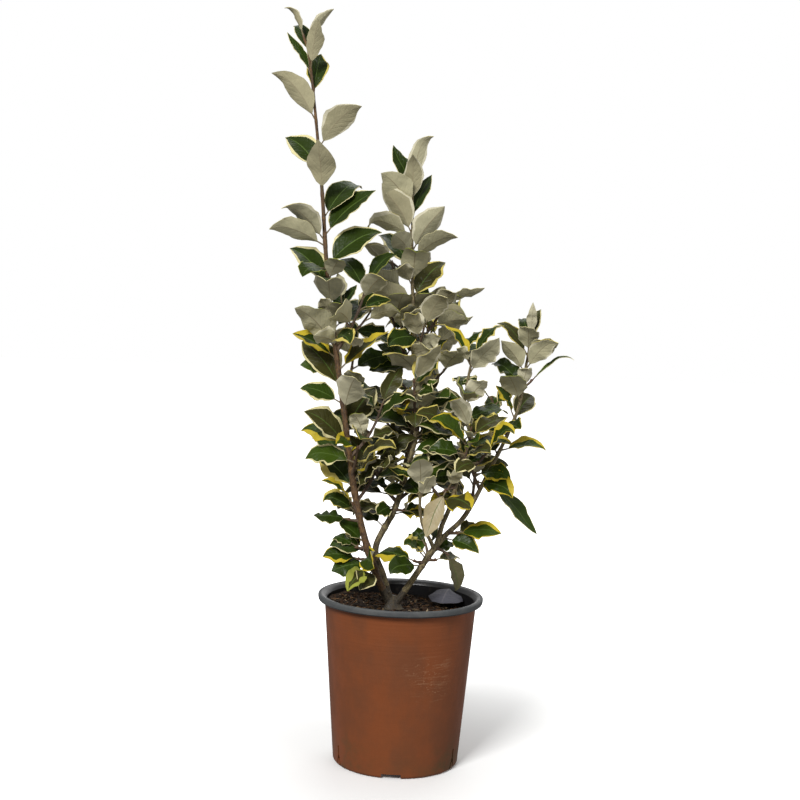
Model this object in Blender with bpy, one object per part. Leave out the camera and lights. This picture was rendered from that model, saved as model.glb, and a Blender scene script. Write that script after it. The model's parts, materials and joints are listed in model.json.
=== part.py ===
# Potted elaeagnus: a variegated evergreen shrub of several stems in a round nursery pot.
# Metres, +Z up. The origin is the middle of the pot's flat underside, and -Y is the plant's front.

import math
import random
from collections import namedtuple

import bmesh
import bpy
from mathutils import Matrix, Vector
from mathutils.bvhtree import BVHTree
from mathutils.geometry import interpolate_bezier

MM = 0.001
GAP = 0.3 * MM

# The pot: a thin tapered wall with a rolled lip, and drain slots round its lower corner
POT_HEIGHT = 193 * MM
LIP_RADIUS = 95 * MM
LIP_DEPTH = 8.5 * MM
NECK_RADIUS = 87.2 * MM
BASE_RADIUS = 72.3 * MM
CORNER_RADIUS = 4 * MM
POT_WALL = 1.6 * MM
POT_FLOOR = 4.8 * MM
POT_SEGMENTS = 48
FLOOR_TOP = POT_FLOOR + 3 * MM
DRAIN_COUNT = 3
DRAIN_SLOT = (2.4 * MM, 12 * MM)
DRAIN_ARCH = (18 * MM, 3.2 * MM)
FIRST_ARCH_ANGLE = 267
FIRST_SLOT_ANGLE = 207

# The compost: it lies higher on the left than on the right, and level round the plant's foot
GROUND = 176 * MM
COMPOST_SLOPE = 0.055
COMPOST_LEVEL_RADIUS = 26 * MM
COMPOST_SLOPE_WIDTH = 30 * MM
COMPOST_BUMP = 1.2 * MM
COMPOST_RINGS = 5
COMPOST_SEED = 11

# The foot: a short stool with a root flare, forked into the three lowest stems
FOOT_CENTRE = (-9 * MM, 0)
FOOT_FLARE = 12 * MM
FOOT_WAIST = 7 * MM
FOOT_HEIGHT = 15 * MM
FOOT_ARM = 25 * MM
FOOT_SIDES = 12
FOOT_LOBE = 0.14
STUB_LENGTH = 14 * MM
STUB_RADIUS = 3 * MM
STUB_HEADING = (215, 62)

# Limbs, with the sides of their rings and the steps between them. A branch starts a little way off
# its parent's bark, and is then slid up to it.
LIMB_TAPER = 0.8
BOUGH_RINGS = (8, 7 * MM)
STEM_RINGS = (6, 13 * MM)
TWIG_RINGS = (4, 13 * MM)
SEAT_GAP = 1.7 * GAP
SEAT_REACH = 25 * MM
SEAT_HALVINGS = 24
ROOT_CLEAR = 2 * MM
SIDE_RADII = (2.2 * MM, 1.2 * MM)
SIDE_SHARE = 0.75
SIDE_STEPS = 4

# Twigs within a mass, each with up to three leaves
TWIG_RADII = (1.5 * MM, 1.1 * MM)
TWIG_LENGTH = (0.5, 0.8)
TWIG_LIFT = 12
TWIG_LEAVES = (1 * MM, 9 * MM, 18 * MM)
TWIG_LEAF_SIZE = (0.8, 0.95)
TWIG_CLEAR = 4 * MM

# Leaves: two-fifths of a turn from each to the next, counted from the shoot's tip downwards
TURN = 144
TURN_SPREAD = 24
RISE_SPREAD = 11
RISE_POWER = 0.6
ROLL_SPREAD = 14
PLACE_SPREAD = 2 * MM
LENGTH_SPREAD = (0.92, 1.06)
WIDTH_SPREAD = (0.9, 1.08)
STEEPEST = 80
PETIOLE = 8 * MM
PETIOLE_HALF = (0.75 * MM, 0.6 * MM)
LEAF_HALF_THICKNESS = 0.45 * MM
LEAF_STATIONS = (0.2, 0.5, 0.8)
LEAF_OUTLINE = (0.9, 0.8)
YOUNG_WIDTH = 0.12
LEAF_WIDTH = 0.27
WIDTH_AGE = 1.7
FOLD = 16
ARCH = 34
FACING_SHARE = 0.6
FACING_LIMIT = 60
FACING_HEIGHTS = (0.36, 0.50)
FACING_FRONT = 0.5
CLEARANCE = 0.5 * MM
TIP_INTERNODES = (7 * MM, 12 * MM, 16 * MM)
TIP_INSET = 1.5 * MM
START_INSET = 4 * MM
END_INSET = 8 * MM
NUDGES = ((0, 0, 1), (14, 6, 1), (-14, -6, 1), (28, -12, 0.92), (-28, 12, 0.92),
          (0, 24, 0.85), (0, -26, 0.85), (46, 0, 0.8), (-46, 8, 0.8))

# How leaves come along a shoot. Pairs go from the tip down: internodes, lengths and rises.
Growth = namedtuple("Growth", "top_azimuth internodes young leaf rise twigs seed width", defaults=(1,))

# A main stem passes through a few points, in millimetres, from its foot to its tip. Each mass of
# leaves starts at the height given and ends where the next one starts.
Stem = namedtuple("Stem", "bough route radii masses growth")
STEMS = (
    Stem("left_leader", ((-9, 0, 176), (-31, -6, 221), (-53, -11, 294), (-70, -15, 393), (-93, -17, 539),
                         (-106, -16, 667), (-122, -15, 790), (-130, -15, 819)),
         (4.6, 1.3),
         (("leader_low_leaves", 298), ("leader_mid_leaves", 440), ("leader_high_leaves", 575),
          ("leader_tip_leaves", 705)),
         Growth(208, (30, 23), 6, (34, 69), (64, 28), 0.0, 24829)),
    Stem("central_stem", ((-9, 2, 176), (-21, 11, 211), (-31, 17, 243), (-12, 21, 285), (0, 24, 323),
                          (16, 30, 416), (5, 30, 497), (0, 30, 567), (-3, 30, 662)),
         (4.4, 1.3),
         (("central_low_leaves", 330), ("central_mid_leaves", 425), ("central_high_leaves", 520),
          ("central_tip_leaves", 600)),
         Growth(345, (21, 13), 3, (68, 64), (74, 8), 0.3, 18864)),
    Stem("right_stem", ((-9, -1, 176), (14, -6, 213), (33, -10, 244), (49, -11, 265), (71, -8, 289),
                        (98, -4, 343), (126, 0, 409), (134, 4, 461), (139, 6, 492)),
         (4.2, 1.2),
         (("right_low_leaves", 350), ("right_tip_leaves", 415)),
         Growth(260, (22, 19), 4, (42, 54), (70, 6), 0.1, 14415)),
)

# A branch leaves its parent at a height, and passes through its own points
Branch = namedtuple("Branch", "parent height stem")
BRANCHES = (
    Branch("right_stem", 254, Stem("middle_right_stem",
           ((44, -16, 276), (53, -24, 303), (62, -28, 350), (63, -28, 400), (67, -26, 445), (72, -25, 470)),
           (3.2, 1.2), (("middle_right_low_leaves", 336), ("middle_right_tip_leaves", 405)),
           Growth(36, (20, 15), 2, (46, 60), (52, 5), 0.35, 6))),
    Branch("central_stem", 300, Stem("back_stem",
           ((-2, 42, 330), (8, 62, 385), (18, 70, 450), (22, 68, 520)),
           (2.8, 1.2), (("back_low_leaves", 365), ("back_tip_leaves", 445)),
           Growth(100, (22, 16), 3, (44, 62), (60, 0), 0.4, 9))),
    Branch("right_stem", 249, Stem("front_spur",
           ((30, -20, 262), (21, -27, 281), (18, -30, 306), (20, -30, 330)),
           (2.4, 1.3), (("front_spur_leaves", 300),),
           Growth(200, (12, 12), 2, (44, 54), (50, 10), 0.0, 4))),
)

# A side shoot leaves its parent at a height, towards an azimuth, and its rise changes along its
# length. Its leaves rise by their own amount at its tip, and lie lower further down.
Side = namedtuple("Side", "name parent height azimuth rise length top_azimuth leaf leaf_rise seed width",
                  defaults=(1,))
SIDE_INTERNODES = (17, 13)
SIDE_TIP_LEAF = 0.85
SIDE_TWIGS = 0.1
SIDES = (
    Side("left_low_leaves", "left_leader", 233, 196, (0, 5), 14, 186, 46, 2, 21, 1.3),
    Side("left_low_front_leaves", "left_leader", 246, 205, (0, 10), 12.5, 192, 34, 30, 50, 1.3),
    Side("left_hanging_leaves", "left_leader", 226, 240, (0, -5), 12.5, 216, 44, -16, 22, 1.3),
    Side("low_front_leaves", "right_stem", 232, 215, (5, 15), 12.5, 182, 52, -2, 23, 1.25),
    Side("low_upright_leaves", "right_stem", 240, 120, (50, 70), 12.5, 118, 32, 70, 51, 1.3),
    Side("low_right_leaves", "right_stem", 236, 320, (0, 5), 12, 12, 38, 8, 24),
    Side("low_outer_leaves", "right_stem", 268, 320, (0, 5), 12, 352, 56, -2, 25),
    Side("right_drooping_leaves", "right_stem", 326, 320, (0, -10), 11.5, 344, 74, -42, 26),
    Side("left_inner_leaves", "left_leader", 350, 20, (42, 75), 70, 60, 56, 50, 27),
    Side("left_back_leaves", "left_leader", 410, 75, (45, 75), 70, 120, 56, 50, 28),
    Side("left_lower_inner_leaves", "left_leader", 300, 50, (35, 60), 55, 20, 58, 40, 29),
    Side("left_front_leaves", "left_leader", 330, 285, (40, 70), 40, 240, 58, 30, 30),
    Side("left_upper_inner_leaves", "left_leader", 470, 12, (55, 80), 85, 20, 58, 55, 31),
    Side("central_low_left_leaves", "central_stem", 296, 150, (35, 70), 75, 200, 56, 45, 32),
    Side("central_low_right_leaves", "central_stem", 300, 345, (35, 60), 50, 10, 58, 35, 33),
    Side("central_front_leaves", "central_stem", 380, 262, (40, 75), 70, 300, 58, 45, 34),
    Side("central_left_leaves", "central_stem", 440, 175, (48, 78), 80, 140, 58, 50, 35),
    Side("central_upper_left_leaves", "central_stem", 520, 165, (50, 75), 60, 190, 54, 50, 36),
    Side("central_upper_right_leaves", "central_stem", 480, 345, (45, 70), 60, 330, 58, 45, 37),
    Side("middle_right_front_leaves", "middle_right_stem", 330, 290, (45, 75), 70, 250, 54, 45, 38),
    Side("middle_right_inner_leaves", "middle_right_stem", 300, 165, (35, 60), 45, 220, 56, 30, 39),
    Side("right_upper_leaves", "right_stem", 382, 195, (50, 75), 45, 200, 46, 45, 40),
    Side("right_back_leaves", "right_stem", 300, 80, (50, 78), 90, 60, 54, 50, 41),
    Side("right_inner_leaves", "right_stem", 318, 200, (60, 75), 45, 230, 56, 40, 42),
    Side("right_hanging_leaves", "right_stem", 250, 340, (-10, -30), 15, 25, 50, -60, 45),
    Side("right_curled_leaves", "right_stem", 436, 350, (30, 50), 12, 2, 58, 56, 54, 0.22),
    Side("back_left_leaves", "back_stem", 350, 150, (40, 70), 60, 200, 58, 45, 43),
    Side("back_right_leaves", "back_stem", 360, 30, (40, 70), 60, 340, 58, 45, 44),
    Side("papery_leaves", "middle_right_stem", 322, 200, (0, -30), 12, 212, 56, -62, 46),
    Side("left_dark_leaves", "left_leader", 278, 205, (0, 10), 12.5, 196, 44, 6, 47, 1.35),
    Side("left_yellow_leaves", "left_leader", 287, 220, (40, 60), 12.5, 200, 52, 68, 53),
    Side("central_lowest_leaves", "central_stem", 286, 215, (10, 30), 12.5, 196, 46, -10, 52, 1.25),
    Side("central_inner_leaves", "central_stem", 312, 230, (0, 10), 12, 185, 48, 8, 48),
    Side("central_outer_leaves", "central_stem", 288, 320, (-5, 5), 12, 345, 44, -4, 49),
)

# Colours, as red, green and blue with the roughness
TERRACOTTA = ((0.195, 0.061, 0.027), 0.45)
COMPOST = ((0.035, 0.020, 0.012), 0.95)
BARK = ((0.150, 0.095, 0.065), 0.8)
FOLIAGE = ((0.095, 0.170, 0.055), 0.4)


def flat_direction(azimuth, rise):
    """The unit vector towards an azimuth, raised above the level by some degrees."""
    turn, lift = math.radians(azimuth), math.radians(rise)
    return Vector((math.cos(turn) * math.cos(lift), math.sin(turn) * math.cos(lift), math.sin(lift)))


def blend(start, end, share):
    return start + (end - start) * share


class Path:
    """A smooth line through some points, with places on it found by their distance along it."""

    def __init__(self, points):
        knots = [Vector(point) for point in points]
        ends = [2 * knots[0] - knots[1]] + knots + [2 * knots[-1] - knots[-2]]
        self.points = [knots[0]]
        for i in range(1, len(ends) - 2):
            out = ends[i] + (ends[i + 1] - ends[i - 1]) / 6
            back = ends[i + 1] - (ends[i + 2] - ends[i]) / 6
            self.points += interpolate_bezier(ends[i], out, back, ends[i + 1], 12)[1:]
        self.marks = [0.0]
        for i in range(1, len(self.points)):
            self.marks.append(self.marks[-1] + (self.points[i] - self.points[i - 1]).length)
        self.length = self.marks[-1]

    def at(self, distance):
        """The point that far along, on the end's own heading past either end."""
        for i in range(1, len(self.marks)):
            if distance <= self.marks[i] or i == len(self.marks) - 1:
                share = (distance - self.marks[i - 1]) / (self.marks[i] - self.marks[i - 1])
                return self.points[i - 1].lerp(self.points[i], share)

    def heading(self, distance):
        step = 2 * MM
        return (self.at(distance + step) - self.at(distance - step)).normalized()

    def at_height(self, height):
        """The distance along to the place where the line rises past a height."""
        for i in range(1, len(self.points)):
            low, high = self.points[i - 1].z, self.points[i].z
            if low <= height < high:
                return blend(self.marks[i - 1], self.marks[i], (height - low) / (high - low))
        raise ValueError("the line never reaches %.3f m" % height)

    def nearest(self, point):
        """The distance along to the line's nearest place to a point, and how far off that is."""
        best = (0.0, math.inf)
        for i in range(1, len(self.points)):
            start, span = self.points[i - 1], self.points[i] - self.points[i - 1]
            share = min(1, max(0, (point - start).dot(span) / span.length_squared))
            away = (point - start - span * share).length
            if away < best[1]:
                best = (blend(self.marks[i - 1], self.marks[i], share), away)
        return best


class Shoot:
    """A limb's line with its taper."""

    def __init__(self, path, foot_radius, tip_radius):
        self.path = path
        self.radii = (foot_radius, tip_radius)

    def radius(self, distance):
        share = min(1, max(0, distance / self.path.length))
        return blend(self.radii[0], self.radii[1], share ** LIMB_TAPER)

    def rings(self, start, end, kind, grow=0.0):
        """Rings of the limb from one distance to another, square to its line."""
        sides, step = kind
        count = max(2, round((end - start) / step))
        middle = self.path.heading((start + end) / 2)
        reference = Vector((0, 1, 0)) if abs(middle.y) < 0.8 else Vector((1, 0, 0))
        rings = []
        for i in range(count + 1):
            distance = blend(start, end, i / count)
            heading = self.path.heading(distance)
            side = reference.cross(heading).normalized()
            front = heading.cross(side)
            size = self.radius(distance) + grow
            centre = self.path.at(distance)
            turns = [math.tau * k / sides for k in range(sides)]
            rings.append([centre + size * (math.cos(a) * side + math.sin(a) * front) for a in turns])
        return rings


def seat(point, heading, behind, parent):
    """Slides a point along a heading until it sits just off the parent limb's bark."""
    inside, outside = -behind, SEAT_REACH
    for i in range(SEAT_HALVINGS):
        middle = (inside + outside) / 2
        place, away = parent.path.nearest(point + heading * middle)
        if away > parent.radius(place) + SEAT_GAP:
            outside = middle
        else:
            inside = middle
    return point + heading * outside


def seated_rings(shoot, start, end, kind, parent):
    """A side limb's rings, the first ones sunk to a saddle that follows the parent's bark."""
    rings = shoot.rings(start, end, kind)
    centre = shoot.path.at(start)
    heading = shoot.path.heading(start)
    inner = [centre.lerp(point, 0.5) for point in rings[0]]
    saddle = [[seat(point, heading, start, parent) for point in ring] for ring in ([centre], inner, rings[0])]
    return saddle + rings[1:]


Leaf = namedtuple("Leaf", "root radius azimuth rise length width roll")


def facing_roll(azimuth, rise, height):
    """How far a leaf turns about its own length to bring its broad face to the front or the back.

    Low leaves turn their upper face to the front, and high ones whichever face is nearer to it.
    """
    turn, lift = math.radians(azimuth), math.radians(rise)
    normal_back = -math.sin(lift) * math.sin(turn)
    side_back = math.cos(turn)
    low, high = FACING_HEIGHTS
    share = min(1, max(0, (height - low) / (high - low)))
    way = 1 if normal_back > blend(FACING_FRONT, 0, share) else -1
    best = math.degrees(math.atan2(-way * side_back, way * normal_back))
    return FACING_SHARE * max(-FACING_LIMIT, min(FACING_LIMIT, best))


def leaf_half(leaf, share):
    """Half a leaf's width at a share of its blade's length."""
    skew, fullness = LEAF_OUTLINE
    return leaf.length * leaf.width * max(0, math.sin(math.pi * share ** skew)) ** fullness


def leaf_rings(leaf, grow=0.0):
    """Rings of a leaf: the petiole from its stem's middle, the folded and arched blade, and the tip."""
    start = flat_direction(leaf.azimuth, leaf.rise + ARCH * 0.3)
    side = Vector((-math.sin(math.radians(leaf.azimuth)), math.cos(math.radians(leaf.azimuth)), 0))
    side.rotate(Matrix.Rotation(math.radians(leaf.roll), 3, start))
    blade = leaf.length - PETIOLE
    point = leaf.root + start * (leaf.radius + PETIOLE)
    half, thick = PETIOLE_HALF
    places = [(leaf.root, start, half + grow, thick + grow), (point, start, half * 1.3 + grow, thick + grow)]
    last = 0.0
    for share in LEAF_STATIONS + (1.0,):
        middle = (last + share) / 2
        heading = flat_direction(leaf.azimuth, leaf.rise + ARCH * (0.5 - middle))
        point = point + heading * blade * (share - last)
        places.append((point, heading, leaf_half(leaf, share) + grow, LEAF_HALF_THICKNESS + grow))
        last = share
    rings = []
    fold = math.radians(FOLD)
    for index, (centre, heading, wide, thick) in enumerate(places[:-1]):
        across = (side - heading * side.dot(heading)).normalized()
        normal = heading.cross(across)
        lift = normal * wide * math.sin(fold) if index > 1 else Vector((0, 0, 0))
        reach = across * wide * math.cos(fold)
        ridge = normal * thick
        rings.append([centre + reach + lift, centre + ridge, centre - reach + lift, centre - ridge])
    tip, heading = places[-1][:2]
    rings.append([tip + heading * grow])
    return rings


def ring_faces(rings):
    """The faces that close a row of rings into one body. The first or last may be a single point."""
    faces = []
    sides = len(rings[1])
    low = 0
    for ring, above in zip(rings, rings[1:]):
        high = low + len(ring)
        for k in range(sides):
            after = (k + 1) % sides
            if len(ring) == 1:
                faces.append((low, high + after, high + k))
            elif len(above) == 1:
                faces.append((low + k, low + after, high))
            else:
                faces.append((low + k, low + after, high + after, high + k))
        low = high
    if len(rings[0]) > 1:
        faces.append(tuple(reversed(range(sides))))
    if len(rings[-1]) > 1:
        faces.append(tuple(range(low, low + sides)))
    return faces


def ring_tree(rings):
    points = [point for ring in rings for point in ring]
    return BVHTree.FromPolygons(points, ring_faces(rings))


class Taken:
    """The space that limbs and leaves already fill."""

    def __init__(self):
        self.bodies = []

    def add(self, owner, rings):
        points = [point for ring in rings for point in ring]
        centre = sum(points, Vector()) / len(points)
        reach = max((point - centre).length for point in points)
        self.bodies.append((owner, centre, reach, ring_tree(rings)))

    def is_free(self, rings, but=None):
        points = [point for ring in rings for point in ring]
        centre = sum(points, Vector()) / len(points)
        reach = max((point - centre).length for point in points)
        tree = ring_tree(rings)
        for owner, other, other_reach, other_tree in self.bodies:
            if owner == but or (other - centre).length > reach + other_reach:
                continue
            if tree.overlap(other_tree):
                return False
        return True


class Mass:
    """One mass of leaves: a stretch of its shoot, with the twigs and leaves that grow on it."""

    def __init__(self, name, shoot, start, end):
        self.name = name
        self.shoot = shoot
        self.start = start
        self.end = end
        self.bodies = []
        self.parent = None

    def stem_rings(self):
        if self.parent:
            return seated_rings(self.shoot, self.start, self.end, STEM_RINGS, self.parent)
        return self.shoot.rings(self.start, self.end, STEM_RINGS)


def place_leaf(mass, owner, shoot, distance, azimuth, rise, length, width, chance, taken):
    """Adds a leaf where it touches nothing but its own stem, after small turns where it must."""
    root = shoot.path.at(distance)
    loose = chance.uniform(-ROLL_SPREAD, ROLL_SPREAD)
    for turn, lift, size in NUDGES:
        roll = loose + facing_roll(azimuth + turn, rise + lift, root.z)
        leaf = Leaf(root, shoot.radius(distance), azimuth + turn, min(STEEPEST, rise + lift),
                    length * size, width, roll)
        grown = leaf_rings(leaf, CLEARANCE)
        if taken.is_free(grown, owner) and taken.is_free(grown[1:]):
            rings = leaf_rings(leaf)
            mass.bodies.append(rings)
            taken.add(mass.name + "_leaf", rings)
            return True
    return False


def place_twig(mass, owner, shoot, distance, azimuth, rise, length, chance, taken):
    """Adds a short twig that ends in a few leaves, where it is free."""
    out = flat_direction(azimuth, rise)
    root = shoot.path.at(distance)
    size = chance.uniform(*TWIG_LENGTH) * length
    points = (root, root + out * size * 0.5, root + out * size + Vector((0, 0, size * 0.25)))
    twig = Shoot(Path(points), *TWIG_RADII)
    grown = twig.rings(0, twig.path.length, TWIG_RINGS, CLEARANCE)
    beyond = twig.rings(shoot.radius(distance) + TWIG_CLEAR, twig.path.length, TWIG_RINGS, CLEARANCE)
    if not (taken.is_free(grown, owner) and taken.is_free(beyond)):
        return False
    name = "%s_twig_%d" % (mass.name, len(mass.bodies))
    rings = twig.rings(0, twig.path.length, TWIG_RINGS)
    taken.add(name, rings)
    turn = azimuth + chance.uniform(-20, 20)
    placed = 0
    for back in TWIG_LEAVES:
        place = twig.path.length - back
        if place > shoot.radius(distance) + PETIOLE:
            lift = rise + chance.uniform(5, 20) - back / MM
            size = length * chance.uniform(*TWIG_LEAF_SIZE)
            placed += place_leaf(mass, name, twig, place, turn, lift, size, LEAF_WIDTH, chance, taken)
            turn += TURN
    if placed:
        mass.bodies.append(rings)
        return True
    taken.bodies = [body for body in taken.bodies if body[0] != name]
    return False


def leaf_places(length, internodes, start):
    """Distances along a shoot, from its tip down: close together at the tip, then more even."""
    place = length - TIP_INSET
    count = 0
    while place > start:
        yield count, place
        share = (length - place) / (length - start)
        even = blend(internodes[0], internodes[1], min(1, share * 1.5)) * MM
        place -= min(even, TIP_INTERNODES[count]) if count < len(TIP_INTERNODES) else even
        count += 1


def grow_leaves(shoot, masses, growth, taken):
    """Deals leaves and twigs along a shoot, each to the mass whose stretch it grows on."""
    chance = random.Random(growth.seed)
    leafy = shoot.path.length - masses[0].start
    lowest = masses[0].start + START_INSET
    for count, place in leaf_places(shoot.path.length, growth.internodes, lowest):
        place += chance.uniform(-PLACE_SPREAD, PLACE_SPREAD) if count > growth.young else 0
        mass = [one for one in masses if one.start < place][-1]
        if mass is not masses[-1]:
            place = min(place, mass.end - END_INSET)
        place = max(place, mass.start + START_INSET)
        share = (shoot.path.length - place) / leafy
        age = (count + 1) / growth.young
        length = blend(*growth.leaf, min(1, age)) * MM * chance.uniform(*LENGTH_SPREAD)
        width = blend(YOUNG_WIDTH, LEAF_WIDTH, min(1, age / WIDTH_AGE)) * growth.width
        width *= chance.uniform(*WIDTH_SPREAD)
        rise = blend(*growth.rise, share ** RISE_POWER) + chance.uniform(-RISE_SPREAD, RISE_SPREAD)
        azimuth = growth.top_azimuth + TURN * count + chance.uniform(-TURN_SPREAD, TURN_SPREAD)
        if count > growth.young + 2 and chance.random() < growth.twigs:
            lift = rise + TWIG_LIFT
            if place_twig(mass, mass.name, shoot, place, azimuth, lift, length, chance, taken):
                continue
        place_leaf(mass, mass.name, shoot, place, azimuth, rise, length, width, chance, taken)


def split_stem(stem, shoot, start, taken):
    """Parts a stem into its bough and its masses of leaves, with a fine gap at each cut."""
    cuts = [shoot.path.at_height(height * MM) for name, height in stem.masses] + [shoot.path.length]
    bough = (start, cuts[0] - GAP / 2)
    taken.add(stem.bough, shoot.rings(bough[0], bough[1], BOUGH_RINGS))
    masses = []
    for i, (name, height) in enumerate(stem.masses):
        end = cuts[i + 1] - GAP / 2 if i + 1 < len(stem.masses) else cuts[i + 1]
        mass = Mass(name, shoot, cuts[i] + GAP / 2, end)
        taken.add(name, mass.stem_rings())
        masses.append(mass)
    return bough, masses


def metres(points):
    return [Vector(point) * MM for point in points]


def make_material(name, colour, roughness):
    """A plain coat of one colour."""
    material = bpy.data.materials.new(name)
    material.use_nodes = True
    shader = material.node_tree.nodes["Principled BSDF"]
    shader.inputs["Base Color"].default_value = (*colour, 1)
    shader.inputs["Roughness"].default_value = roughness
    shader.inputs["Metallic"].default_value = 0
    return material


def add_object(name, mesh, finish):
    """Puts a finished mesh in the scene under its own name, with its own material."""
    obj = bpy.data.objects.new(name, mesh)
    bpy.context.scene.collection.objects.link(obj)
    mesh.materials.clear()
    mesh.materials.append(make_material(name, *finish))
    return obj


def ring_mesh(name, rings):
    mesh = bpy.data.meshes.new(name)
    mesh.from_pydata([point for ring in rings for point in ring], [], ring_faces(rings))
    return mesh


def keep_largest_shell(mesh):
    """Drops loose scraps and fills sealed hollows, which are shells of their own."""
    bm = bmesh.new()
    bm.from_mesh(mesh)
    bmesh.ops.triangulate(bm, faces=bm.faces)
    bmesh.ops.dissolve_degenerate(bm, edges=bm.edges, dist=0.005 * MM)
    left = set(bm.faces)
    shells = []
    while left:
        shell = {left.pop()}
        front = list(shell)
        while front:
            for edge in front.pop().edges:
                for face in edge.link_faces:
                    if face in left:
                        left.discard(face)
                        shell.add(face)
                        front.append(face)
        shells.append(shell)
    shells.sort(key=len)
    scraps = [face for shell in shells[:-1] for face in shell]
    bmesh.ops.delete(bm, geom=scraps, context="FACES")
    bmesh.ops.triangulate(bm, faces=bm.faces)
    bm.to_mesh(mesh)
    bm.free()


def fuse(name, bodies, finish):
    """Joins some closed bodies into one solid by a Boolean union on their collection."""
    body = add_object(name, bodies[0], finish)
    group = bpy.data.collections.new(name + "_parts")
    for i, mesh in enumerate(bodies[1:]):
        group.objects.link(bpy.data.objects.new("%s_%d" % (name, i), mesh))
    union = body.modifiers.new("union", "BOOLEAN")
    union.operation = "UNION"
    union.operand_type = "COLLECTION"
    union.collection = group
    union.solver = "MANIFOLD"
    graph = bpy.context.evaluated_depsgraph_get()
    fused = bpy.data.meshes.new_from_object(body.evaluated_get(graph))
    body.modifiers.clear()
    body.data = fused
    fused.name = name
    for obj in list(group.objects):
        bpy.data.objects.remove(obj)
    bpy.data.collections.remove(group)
    keep_largest_shell(fused)


def spin_profile(name, profile, segments):
    """Turns a closed outline round the pot's axis."""
    bm = bmesh.new()
    points = [bm.verts.new((radius, 0, height)) for radius, height in profile]
    edges = [bm.edges.new((points[i], points[i + 1])) for i in range(len(points) - 1)]
    bmesh.ops.spin(bm, geom=points + edges, cent=(0, 0, 0), axis=(0, 0, 1), angle=math.tau,
                   steps=segments, use_merge=True)
    bmesh.ops.remove_doubles(bm, verts=bm.verts, dist=0.01 * MM)
    bmesh.ops.recalc_face_normals(bm, faces=bm.faces)
    mesh = bpy.data.meshes.new(name)
    bm.to_mesh(mesh)
    bm.free()
    return mesh


def wall_radius(height):
    """The pot's outer radius on its straight wall."""
    share = (height - CORNER_RADIUS) / (POT_HEIGHT - LIP_DEPTH - CORNER_RADIUS)
    return blend(BASE_RADIUS, NECK_RADIUS, share)


def pot_profile():
    """The pot's outline: underside, corner, wall, lip, and back down inside."""
    corner = [(BASE_RADIUS - CORNER_RADIUS * (1 - math.sin(a)), CORNER_RADIUS * (1 - math.cos(a)))
              for a in (0, math.pi / 6, math.pi / 3, math.pi / 2)]
    neck = POT_HEIGHT - LIP_DEPTH
    overhang = LIP_RADIUS - NECK_RADIUS
    lip = [(NECK_RADIUS, neck), (NECK_RADIUS + overhang * 0.3, neck + 1.4 * MM),
           (LIP_RADIUS - 1.4 * MM, neck + 2.6 * MM), (LIP_RADIUS, POT_HEIGHT - 4.0 * MM),
           (LIP_RADIUS - 0.9 * MM, POT_HEIGHT - 1.4 * MM), (LIP_RADIUS - 3.2 * MM, POT_HEIGHT),
           (NECK_RADIUS + 0.6 * MM, POT_HEIGHT - 0.6 * MM), (NECK_RADIUS - POT_WALL, neck + 5 * MM)]
    inside = [(wall_radius(neck) - POT_WALL, neck),
              (wall_radius(FLOOR_TOP) - POT_WALL, FLOOR_TOP), (wall_radius(0) - CORNER_RADIUS, POT_FLOOR)]
    return [(0, 0)] + corner + lip + inside + [(0, POT_FLOOR)]


def cutter(name, size, centre, angle):
    """A block that cuts the pot, turned to face out at an angle."""
    bm = bmesh.new()
    bmesh.ops.create_cube(bm, size=1, matrix=Matrix.Diagonal((*size, 1)))
    turn = Matrix.Rotation(math.radians(angle), 4, "Z")
    bmesh.ops.transform(bm, matrix=turn @ Matrix.Translation(centre), verts=bm.verts)
    mesh = bpy.data.meshes.new(name)
    bm.to_mesh(mesh)
    bm.free()
    obj = bpy.data.objects.new(name, mesh)
    obj.hide_render = True
    obj.display_type = "WIRE"
    return obj


def make_pot():
    """The pot, with arches in its lower edge and upright slots through its wall between them."""
    pot = add_object("pot", spin_profile("pot", pot_profile(), POT_SEGMENTS), TERRACOTTA)
    cutters = bpy.data.collections.new("pot_cutters")
    bpy.context.scene.collection.children.link(cutters)
    for i in range(DRAIN_COUNT):
        turn = 360 / DRAIN_COUNT * i
        width, height = DRAIN_SLOT
        slot = cutter("drain_slot_%d" % i, (14 * MM, width, height),
                      (BASE_RADIUS, 0, FLOOR_TOP + height / 2), FIRST_SLOT_ANGLE + turn)
        cutters.objects.link(slot)
        width, height = DRAIN_ARCH
        arch = cutter("drain_arch_%d" % i, (36 * MM, width, 2 * height),
                      (BASE_RADIUS, 0, 0), FIRST_ARCH_ANGLE + turn)
        cutters.objects.link(arch)
    cut = pot.modifiers.new("drains", "BOOLEAN")
    cut.operation = "DIFFERENCE"
    cut.operand_type = "COLLECTION"
    cut.collection = cutters
    pot.data.shade_smooth()
    pot.data.set_sharp_from_angle(angle=math.radians(35))


def compost_height(x, y):
    """The compost's surface: level at the foot, and sloping down to the right beyond it."""
    away = math.hypot(x - FOOT_CENTRE[0], y - FOOT_CENTRE[1])
    share = min(1, max(0, (away - COMPOST_LEVEL_RADIUS) / COMPOST_SLOPE_WIDTH))
    return GROUND - COMPOST_SLOPE * (x - FOOT_CENTRE[0]) * share


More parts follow.
